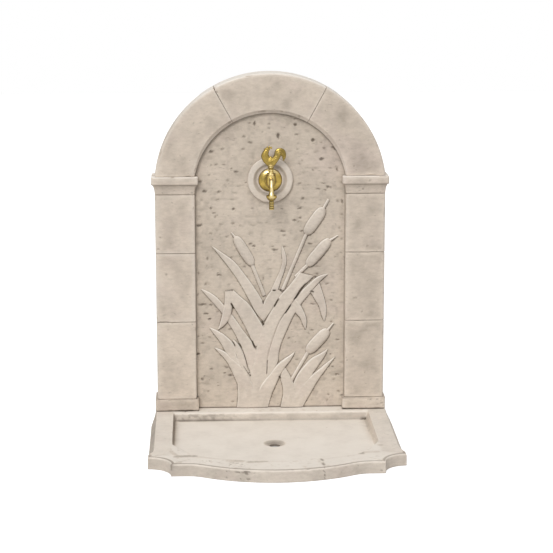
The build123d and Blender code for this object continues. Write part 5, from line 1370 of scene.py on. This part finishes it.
def bonnet_shell():
    """Hexagon under a round gland: the radius is cut back to the flats where a level is marked, with
    painted shade in the gland's groove."""
    angle = round_angles(144)
    flats = 10.5 / np.cos((angle % (np.pi / 3)) - np.pi / 6)
    levels = np.array((
        (18.0, 0.01, 0), (18.0, 10.3, 1), (18.7, 12.2, 1), (23.3, 12.2, 1), (24.0, 10.4, 1), (24.0, 7.0, 0),
        (24.6, 6.5, 0), (27.6, 6.5, 0), (28.2, 6.0, 0), (28.9, 6.0, 0), (29.5, 6.5, 0), (33.0, 6.5, 0),
        (34.0, 5.6, 0), (34.0, 4.2, 0), (32.0, 4.2, 0), (32.0, 0.01, 0)))
    high, radius, hexagon = (column[:, None] for column in levels.T)
    radius = np.where(hexagon > 0, np.minimum(flats[None], radius), radius)
    grid = np.stack([
        radius * np.cos(angle), VALVE_Y + radius * np.sin(angle),
        np.broadcast_to(TAP_Z + high, radius.shape)], -1)
    return grid, np.where((high > 27.9) & (high < 29.2), 0.6, 0.0) + painted_front_light(144, 0.5, 0.4), False


def union_nut_shell():
    """Round nut with a tapered foot, with painted shade inside its mouth and on the taper under it."""
    nut = soft_profile(
        ((-40.5, 6.7), (-40.5, 8.4), (-33.4, 13.3), (-32.6, 13.5), (-28.8, 13.5), (-28.0, 12.7), (-28.0, 8.5),
         (-36.4, 8.5), (-36.6, 6.7)), (0, 0.5, 0.6, 0.5, 0.7, 0.7, 0.2, 0, 0), 3)
    mouth = np.where((nut[:, 1] < 9.6) & (nut[:, 0] > -32.0), 0.8, 0.0)
    dark = np.maximum(mouth, 0.5 * smooth(-33.5, -37.0, nut[:, 0]))[:, None]
    return turned(nut, "Z", 96, SPOUT_BASE), dark + painted_front_light(96, 0.45, 0.3), True


def hose_tail_shell():
    """Ribbed tail: five ribs a pitch apart with a groove between each two, then a collar in the nut. Painted
    shade in the grooves.
    """
    low, pitch, rib, groove, bore, count = -64.3, 4.6, 6.45, 5.55, 3.5, 5
    profile = [(low, bore), (low, 5.9), (low + 0.5, rib)]
    for foot in low + pitch * np.arange(count):
        profile += [(foot + 1.0, rib), (foot + 2.6, rib), (foot + 3.0, 6.1), (foot + 3.2, groove)]
        profile += [(foot + 4.4, groove), (foot + pitch, 6.1)]
    profile = profile[:-2] + [(-38.3, groove), (-38.3, 8.2), (-36.5, 8.2), (-36.5, bore)]
    radius = np.array(profile)[:, 1]
    dark = (1.2 * smooth(6.2, 5.6, radius) * (radius > 4.0))[:, None]
    return turned(profile, "Z", 72, SPOUT_BASE), dark + painted_front_light(72, 0.2, 0.35), True


def rooster_shells():
    """Limbs of the figure, three feathers on each wing, three on each side of the tail, the eyes and the
    hub. They overlap and are cast together."""
    limbs = [limb(*row) for row in ROOSTER_LIMBS]
    for face in (-1.0, 1.0):
        for lift, reach in ((0.0, 15.0), (-3.6, 13.0), (-7.0, 10.5)):
            spine = ((-7, 19 + lift), (-1, 19.5 + lift), (reach, 24 + lift))
            limbs.append(limb(spine, (1.4, 2.1, 0.5), (1.2, 1.4, 0.4), 18, 14, face * WING_FACE_Y))
        for lift in (0.0, 5.2, 10.2):
            spine = (
                (15, 24 + 1.2 * lift), (22, 31 + 0.95 * lift), (30, 29 + 0.7 * lift),
                (33.2, 23 + 0.5 * lift))
            limbs.append(limb(spine, (0.7, 1.6, 1.5, 0.5), (0.8, 1.2, 1.1, 0.4), 22, 12, face * TAIL_FACE_Y))
        spine = ((-12.6, 44.2), (-12, 44.2), (-11.4, 44.2))
        limbs.append(limb(spine, (0.3, 0.9, 0.3), (0.3, 0.7, 0.3), 9, 12, face * EYE_FACE_Y))
    hub = soft_profile(
        ((36.6, 0.01), (36.6, 7.2), (37.4, 7.9), (40.6, 7.9), (41.6, 6.9), (42.6, 7.6), (44.2, 7.6),
         (45.4, 5.6), (47.0, 0.01)), (0, 0.8, 0.8, 0.8, 0.8, 0.8, 0.8, 1.5, 0), 4)
    return [(grid, 0.0, False) for grid in (*limbs, turned(hub, "Z", 64, VALVE_BASE))]


# Settings


def colour_setting(name, description, default):
    """Colour that a user may change."""
    return bpy.props.FloatVectorProperty(
        name=name, description=description, default=default, subtype="COLOR", size=3, min=0.0, max=1.0)


def strength_setting(name, description, default):
    """Strength of a light that a user may change."""
    return bpy.props.FloatProperty(name=name, description=description, default=default, min=0.0)


class FountainStone(bpy.types.PropertyGroup):
    """Colours and wear of the cast stone."""

    block_colour: colour_setting(
        "Block colour", "Colour of the frame's blocks and arch", (0.620, 0.535, 0.450))
    field_colour: colour_setting("Field colour", "Colour of the pitted panel", (0.586, 0.507, 0.424))
    leaf_colour: colour_setting("Leaf colour", "Colour of the bulrush relief", (0.618, 0.543, 0.468))
    tray_colour: colour_setting("Tray colour", "Colour of the basin", (0.665, 0.590, 0.510))
    # Also the colour of painted light: faces that look up and leaf edges that look up
    dust_and_light_colour: colour_setting(
        "Dust colour", "Pale wear on arrises and on faces that look up", (0.800, 0.745, 0.675))
    blush_colour: colour_setting(
        "Blush colour", "Pinkish grey of the drifting patches", (0.600, 0.500, 0.440))
    # Also the colour of painted shade under the leaves, in the reveals and in recesses
    dirt_and_shade_colour: colour_setting(
        "Dirt colour", "Dirt in pits, joints and under the leaves", (0.060, 0.043, 0.028))
    joint_depth: bpy.props.FloatProperty(
        name="Joint depth", description="How far a stone draws in at its joints, in millimetres",
        default=1.9, min=0.2, max=5.0)


class FountainMetal(bpy.types.PropertyGroup):
    """Colours of the tap."""

    brass_colour: colour_setting("Brass colour", "Polished brass of the tap", (0.440, 0.312, 0.078))
    tarnish_colour: colour_setting("Tarnish colour", "Olive tarnish on the brass", (0.190, 0.150, 0.065))
    # Also the colour of the painted highlights on the tap
    rubbed_and_highlight_colour: colour_setting(
        "Rubbed colour", "Bright brass where it is rubbed or wet", (0.820, 0.690, 0.400))


class FountainStage(bpy.types.PropertyGroup):
    """Light and camera."""

    front_strength: strength_setting(
        "Front light", "Strength of the soft light from above the camera", 1.55)
    top_strength: strength_setting("Top light", "Strength of the broad light from overhead", 0.86)
    ambient: strength_setting("Ambient", "Strength of the even light from all round", 0.45)
    floor_glow: strength_setting("Floor white", "White added to the floor as the camera sees it", 0.7)
    lens: bpy.props.FloatProperty(
        name="Lens", description="Focal length of the camera", subtype="DISTANCE_CAMERA", default=110.67)


# Operators


class FOUNTAIN_OT_basin(bpy.types.Operator):
    """Builds the basin"""

    bl_idname = "fountain.basin"
    bl_label = "Basin"

    def execute(self, context):
        stone_piece("basin", [(*basin_shell(), True)], dust_and_top_light=0.9, finish="tray_stone")
        return {"FINISHED"}


class FOUNTAIN_OT_pilasters(bpy.types.Operator):
    """Builds the plinths and shaft blocks"""

    bl_idname = "fountain.pilasters"
    bl_label = "Pilasters"

    def execute(self, context):
        joint = context.scene.fountain_stone.joint_depth
        # Kind of stone, step, dirt in its lower and upper joint and how far that reaches
        courses = (
            ("plinth", PLINTH_STEP, (1.9, 0.5), 5.0), ("lower_block", 0.0, (0.75, 0.5), 1.5),
            ("middle_block", 0.0, (0.75, 0.5), 1.5), ("upper_block", 0.0, (0.75, 0.5), 1.5))
        for index, (name, side) in enumerate(SIDES):
            for course, (kind, step, joint_dark, reach) in enumerate(courses):
                node = f"{name}_{kind}"
                low, high = span(node)
                rows = stone_rows(high[2] - low[2], pitch=3.4)
                plan = frame_plan(step, inner_round=5.0, front_round=6.0)
                plans = np.repeat(plan[None], len(rows), 0)
                seed, soil_and_shade = 11 + 40 * index + 9 * course, STONE_SOIL_AND_SHADE.get(node, 0.0)
                shell, dark = stone_shell(plans, rows, upright(low[2]), seed, joint, joint_dark, reach, soil_and_shade)
                stone_piece(node, [(mirrored(shell, side), dark, False)], dust_and_top_light=0.5)
        return {"FINISHED"}


class FOUNTAIN_OT_imposts(bpy.types.Operator):
    """Builds the moulded imposts: a cavetto under a slab"""

    bl_idname = "fountain.imposts"
    bl_label = "Imposts"

    def execute(self, context):
        joint = 0.5 * context.scene.fountain_stone.joint_depth
        rows, steps = impost_profile().T
        plans = np.stack([frame_plan(step, 4.0 + 0.2 * step, 4.5 + 0.2 * step) for step in steps])
        # Painted shadow under the slab and painted shade on the cavetto, darker towards its top
        slab_shadow = 0.7 * bell(rows, CAVETTO_HEIGHT, 1.1)
        shade = (0.05 + 0.15 * smooth(4.0, 25.0, rows)) * (rows < CAVETTO_HEIGHT + 0.2)
        cavetto_shade = np.pad(np.maximum(slab_shadow, shade), 1, "edge")[:, None]
        for index, (name, side) in enumerate(SIDES):
            seed = 131 + 17 * index
            shell, dark = stone_shell(plans, rows, upright(SHAFT_TOP_Z), seed, joint, (0.6, 0.0))
            dark = np.where(cavetto_shade > 0.03, np.maximum(dark, cavetto_shade), dark)
            stone_piece(f"{name}_impost", [(mirrored(shell, side), dark, False)], dust_and_top_light=0.6)
        return {"FINISHED"}


class FOUNTAIN_OT_arch(bpy.types.Operator):
    """Builds the three arch stones"""

    bl_idname = "fountain.arch"
    bl_label = "Arch"

    def execute(self, context):
        joint = context.scene.fountain_stone.joint_depth
        stones = (
            ("left_voussoir", None, 90.0 - CROWN_HALF_ANGLE, -1.0),
            ("crown_voussoir", 90.0 - CROWN_HALF_ANGLE, 90.0 + CROWN_HALF_ANGLE, 1.0),
            ("right_voussoir", None, 90.0 - CROWN_HALF_ANGLE, 1.0))
        for index, (node, start, end, side) in enumerate(stones):
            turn = math.radians(end - (start or SPRING_ANGLE))
            rows = stone_rows(turn * arch_radius(OUTER_X), pitch=3.6)
            high = rows / rows[-1] if start is None else np.ones(len(rows))
            plans = np.stack([arch_plan(3.0 + 6.0 * share, 7.0) for share in smooth(0.0, 0.6, high)])
            joint_dark = (0.5, 0.5) if start else (0.15, 0.5)
            seed, soil_and_shade = 171 + 23 * index, STONE_SOIL_AND_SHADE.get(node, 0.0)
            place = round_arch(start, end)
            shell, dark = stone_shell(plans, rows, place, seed, joint, joint_dark, soil_and_shade=soil_and_shade)
            stone_piece(node, [(mirrored(shell, side), dark, False)], dust_and_top_light=0.8)
        return {"FINISHED"}


class FOUNTAIN_OT_panel(bpy.types.Operator):
    """Builds the pitted back panel"""

    bl_idname = "fountain.panel"
    bl_label = "Panel"

    def execute(self, context):
        shells = [(*panel_shell(relief_map()), False)]
        stone_piece("back_panel", shells, finish="field_stone", sharp=50.0)
        return {"FINISHED"}


class FOUNTAIN_OT_relief(bpy.types.Operator):
    """Builds the bulrush relief"""

    bl_idname = "fountain.relief"
    bl_label = "Bulrush relief"

    def execute(self, context):
        heights = relief_map()
        for node, blades, trunk, heads in RELIEFS:
            shells = [
                (*relief_shell(x, z, h, heights, 501 + index), False)
                for index, (x, z, h) in enumerate(relief_grids(blades, trunk, heads, 1))]
            stone_piece(node, shells, dust_and_top_light=0.5, finish="leaf_stone", sharp=60.0)
        return {"FINISHED"}


class FOUNTAIN_OT_boss(bpy.types.Operator):
    """Builds the stone boss behind the tap"""

    bl_idname = "fountain.boss"
    bl_label = "Boss"

    def execute(self, context):
        stone_piece("tap_boss", [boss_shell()], dust_and_top_light=0.4, sharp=55.0)
        return {"FINISHED"}


class FOUNTAIN_OT_tap(bpy.types.Operator):
    """Builds the rosette, the tap body and the bonnet"""

    bl_idname = "fountain.tap"
    bl_label = "Tap"

    def execute(self, context):
        brass_piece("rosette", [rosette_shell()], sharp=45.0)
        brass_piece("tap_body", tap_body_shells(), sharp=40.0)
        brass_piece("bonnet", [bonnet_shell()], sharp=35.0)
        return {"FINISHED"}


class FOUNTAIN_OT_hose_connector(bpy.types.Operator):
    """Builds the union nut and the ribbed hose tail"""

    bl_idname = "fountain.hose_connector"
    bl_label = "Hose connector"

    def execute(self, context):
        brass_piece("union_nut", [union_nut_shell()], sharp=40.0)
        brass_piece("hose_tail", [hose_tail_shell()], sharp=40.0)
        return {"FINISHED"}


class FOUNTAIN_OT_rooster(bpy.types.Operator):
    """Builds the rooster handle as one casting"""

    bl_idname = "fountain.rooster"
    bl_label = "Rooster handle"

    def execute(self, context):
        mesh = cast_together("rooster_brass", rooster_shells())
        cast_tarnish_and_painted_light(mesh)
        hand_over("rooster_brass", mesh, "rooster_handle", HANDLE, "tap_brass")
        return {"FINISHED"}


class FOUNTAIN_OT_fittings(bpy.types.Operator):
    """Gives the hidden fittings, which keep their solids, their finishes"""

    bl_idname = "fountain.fittings"
    bl_label = "Hidden fittings"

    def execute(self, context):
        for node, finish in HIDDEN_FITTINGS.items():
            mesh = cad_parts[node].data
            mesh.materials.clear()
            mesh.materials.append(finish_of(finish))
        return {"FINISHED"}


class FOUNTAIN_OT_stage(bpy.types.Operator):
    """Sets the floor, the light, the world and the camera"""

    bl_idname = "fountain.stage"
    bl_label = "Stage"

    def execute(self, context):
        scene, stage = context.scene, context.scene.fountain_stage
        scene.view_settings.view_transform = "Standard"
        self.floor(scene, stage)
        self.world(scene, stage)
        self.sun(scene, "front_light", stage.front_strength, up=29.0, left=15.0, wide=26.0)
        self.sun(scene, "top_light", stage.top_strength, up=72.0, left=12.0, wide=60.0)
        data = bpy.data.cameras.new("front_camera")
        data.sensor_width = CAMERA_SENSOR
        data.lens = stage.lens
        camera = bpy.data.objects.new("front_camera", data)
        camera.location = CAMERA_PLACE
        camera.rotation_euler = np.radians((90.0 - CAMERA_DOWN, CAMERA_ROLL, CAMERA_TURN))
        scene.collection.objects.link(camera)
        scene.camera = camera
        return {"FINISHED"}

    def floor(self, scene, stage):
        """White floor: a gently sagging square grid far larger than the view."""
        side = FLOOR_CELLS + 1
        reach = np.linspace(-FLOOR_REACH, FLOOR_REACH, side)
        x, y = np.meshgrid(reach, reach, indexing="ij")
        points = np.stack([x, y, -0.0004 - 0.0001 * np.hypot(x, y)], -1).reshape(-1, 3)
        cells = np.arange(FLOOR_CELLS)
        first = (cells[:, None] * side + cells).reshape(-1)
        faces = np.stack([first, first + side, first + side + 1, first + 1], -1)
        mesh = bpy.data.meshes.new("studio_floor")
        mesh.from_pydata(points.tolist(), [], faces.tolist())
        mesh.materials.append(self.floor_material(stage))
        ground = bpy.data.objects.new("studio_floor", mesh)
        scene.collection.objects.link(ground)

    def floor_material(self, stage):
        """Pale floor that looks white where it is seen, and keeps the object's shadow."""
        material, tree, place = new_material("floor_white")
        tone = ramp(tree, noise(tree, place, 40.0, 2.0), (0.3, 0.59), (0.7, 0.61))
        shader, output = surface(tree, Base_Color=tone, Roughness=0.9, Specular_IOR_Level=0.0)
        far = add_node(tree, "VectorMath", {"operation": "LENGTH"}, i0=place).outputs["Value"]
        bare = combined(tree, far, 0.15, "GREATER_THAN")
        seen = combined(tree, self.seen_directly(tree), bare)
        glow = add_node(tree, "Emission", Color=(1, 1, 1, 1), Strength=combined(tree, seen, stage.floor_glow))
        both = add_node(tree, "AddShader", i0=shader.outputs["BSDF"], i1=glow.outputs["Emission"])
        tree.links.new(both.outputs["Shader"], output.inputs["Surface"])
        return material

    def seen_directly(self, tree):
        """1 for camera, glossy and transmission rays, else 0."""
        path = add_node(tree, "LightPath")
        total = combined(tree, path.outputs["Is Camera Ray"], path.outputs["Is Glossy Ray"], "MAXIMUM")
        return combined(tree, total, path.outputs["Is Transmission Ray"], "MAXIMUM")

    def world(self, scene, stage):
        """White where it is seen directly or mirrored, a lower even level as light."""
        world = bpy.data.worlds.new("studio_white")
        world.use_nodes = True
        tree = world.node_tree
        tree.nodes.clear()
        lift = combined(tree, self.seen_directly(tree), 1.0 - stage.ambient)
        level = combined(tree, lift, stage.ambient, "ADD")
        back = add_node(tree, "Background", Color=(1, 1, 1, 1), Strength=level)
        add_node(tree, "OutputWorld", Surface=back.outputs["Background"])
        scene.world = world

    def sun(self, scene, name, strength, up, left, wide):
        """Light from far off, so many degrees up, left of the front and wide."""
        data = bpy.data.lights.new(name, "SUN")
        data.energy = strength
        data.angle = math.radians(wide)
        sun = bpy.data.objects.new(name, data)
        sun.rotation_euler = (math.radians(90.0 - up), 0.0, math.radians(-left))
        scene.collection.objects.link(sun)


class FOUNTAIN_PT_build(bpy.types.Panel):
    """Lists the fountain's builders and settings"""

    bl_idname = "FOUNTAIN_PT_build"
    bl_label = "Garden fountain"
    bl_space_type = "VIEW_3D"
    bl_region_type = "UI"
    bl_category = "Fountain"

    def draw(self, context):
        for builder in BUILDERS:
            self.layout.operator(builder.bl_idname)
        for name, group in SETTINGS:
            box = self.layout.box()
            for key in group.__annotations__:
                box.prop(getattr(context.scene, name), key)


BUILDERS = (
    FOUNTAIN_OT_stage, FOUNTAIN_OT_basin, FOUNTAIN_OT_pilasters, FOUNTAIN_OT_imposts, FOUNTAIN_OT_arch,
    FOUNTAIN_OT_panel, FOUNTAIN_OT_relief, FOUNTAIN_OT_boss, FOUNTAIN_OT_tap, FOUNTAIN_OT_hose_connector,
    FOUNTAIN_OT_rooster, FOUNTAIN_OT_fittings)
SETTINGS = (
    ("fountain_stone", FountainStone), ("fountain_metal", FountainMetal), ("fountain_stage", FountainStage))


def register():
    for name, group in SETTINGS:
        bpy.utils.register_class(group)
        setattr(bpy.types.Scene, name, bpy.props.PointerProperty(type=group))
    for builder in BUILDERS:
        bpy.utils.register_class(builder)
    bpy.utils.register_class(FOUNTAIN_PT_build)


def unregister():
    bpy.utils.unregister_class(FOUNTAIN_PT_build)
    for builder in reversed(BUILDERS):
        bpy.utils.unregister_class(builder)
    for name, group in reversed(SETTINGS):
        delattr(bpy.types.Scene, name)
        bpy.utils.unregister_class(group)


def main():
    register()
    for builder in BUILDERS:
        group, name = builder.bl_idname.split(".")
        getattr(getattr(bpy.ops, group), name)()


if __name__ == "__main__":
    main()
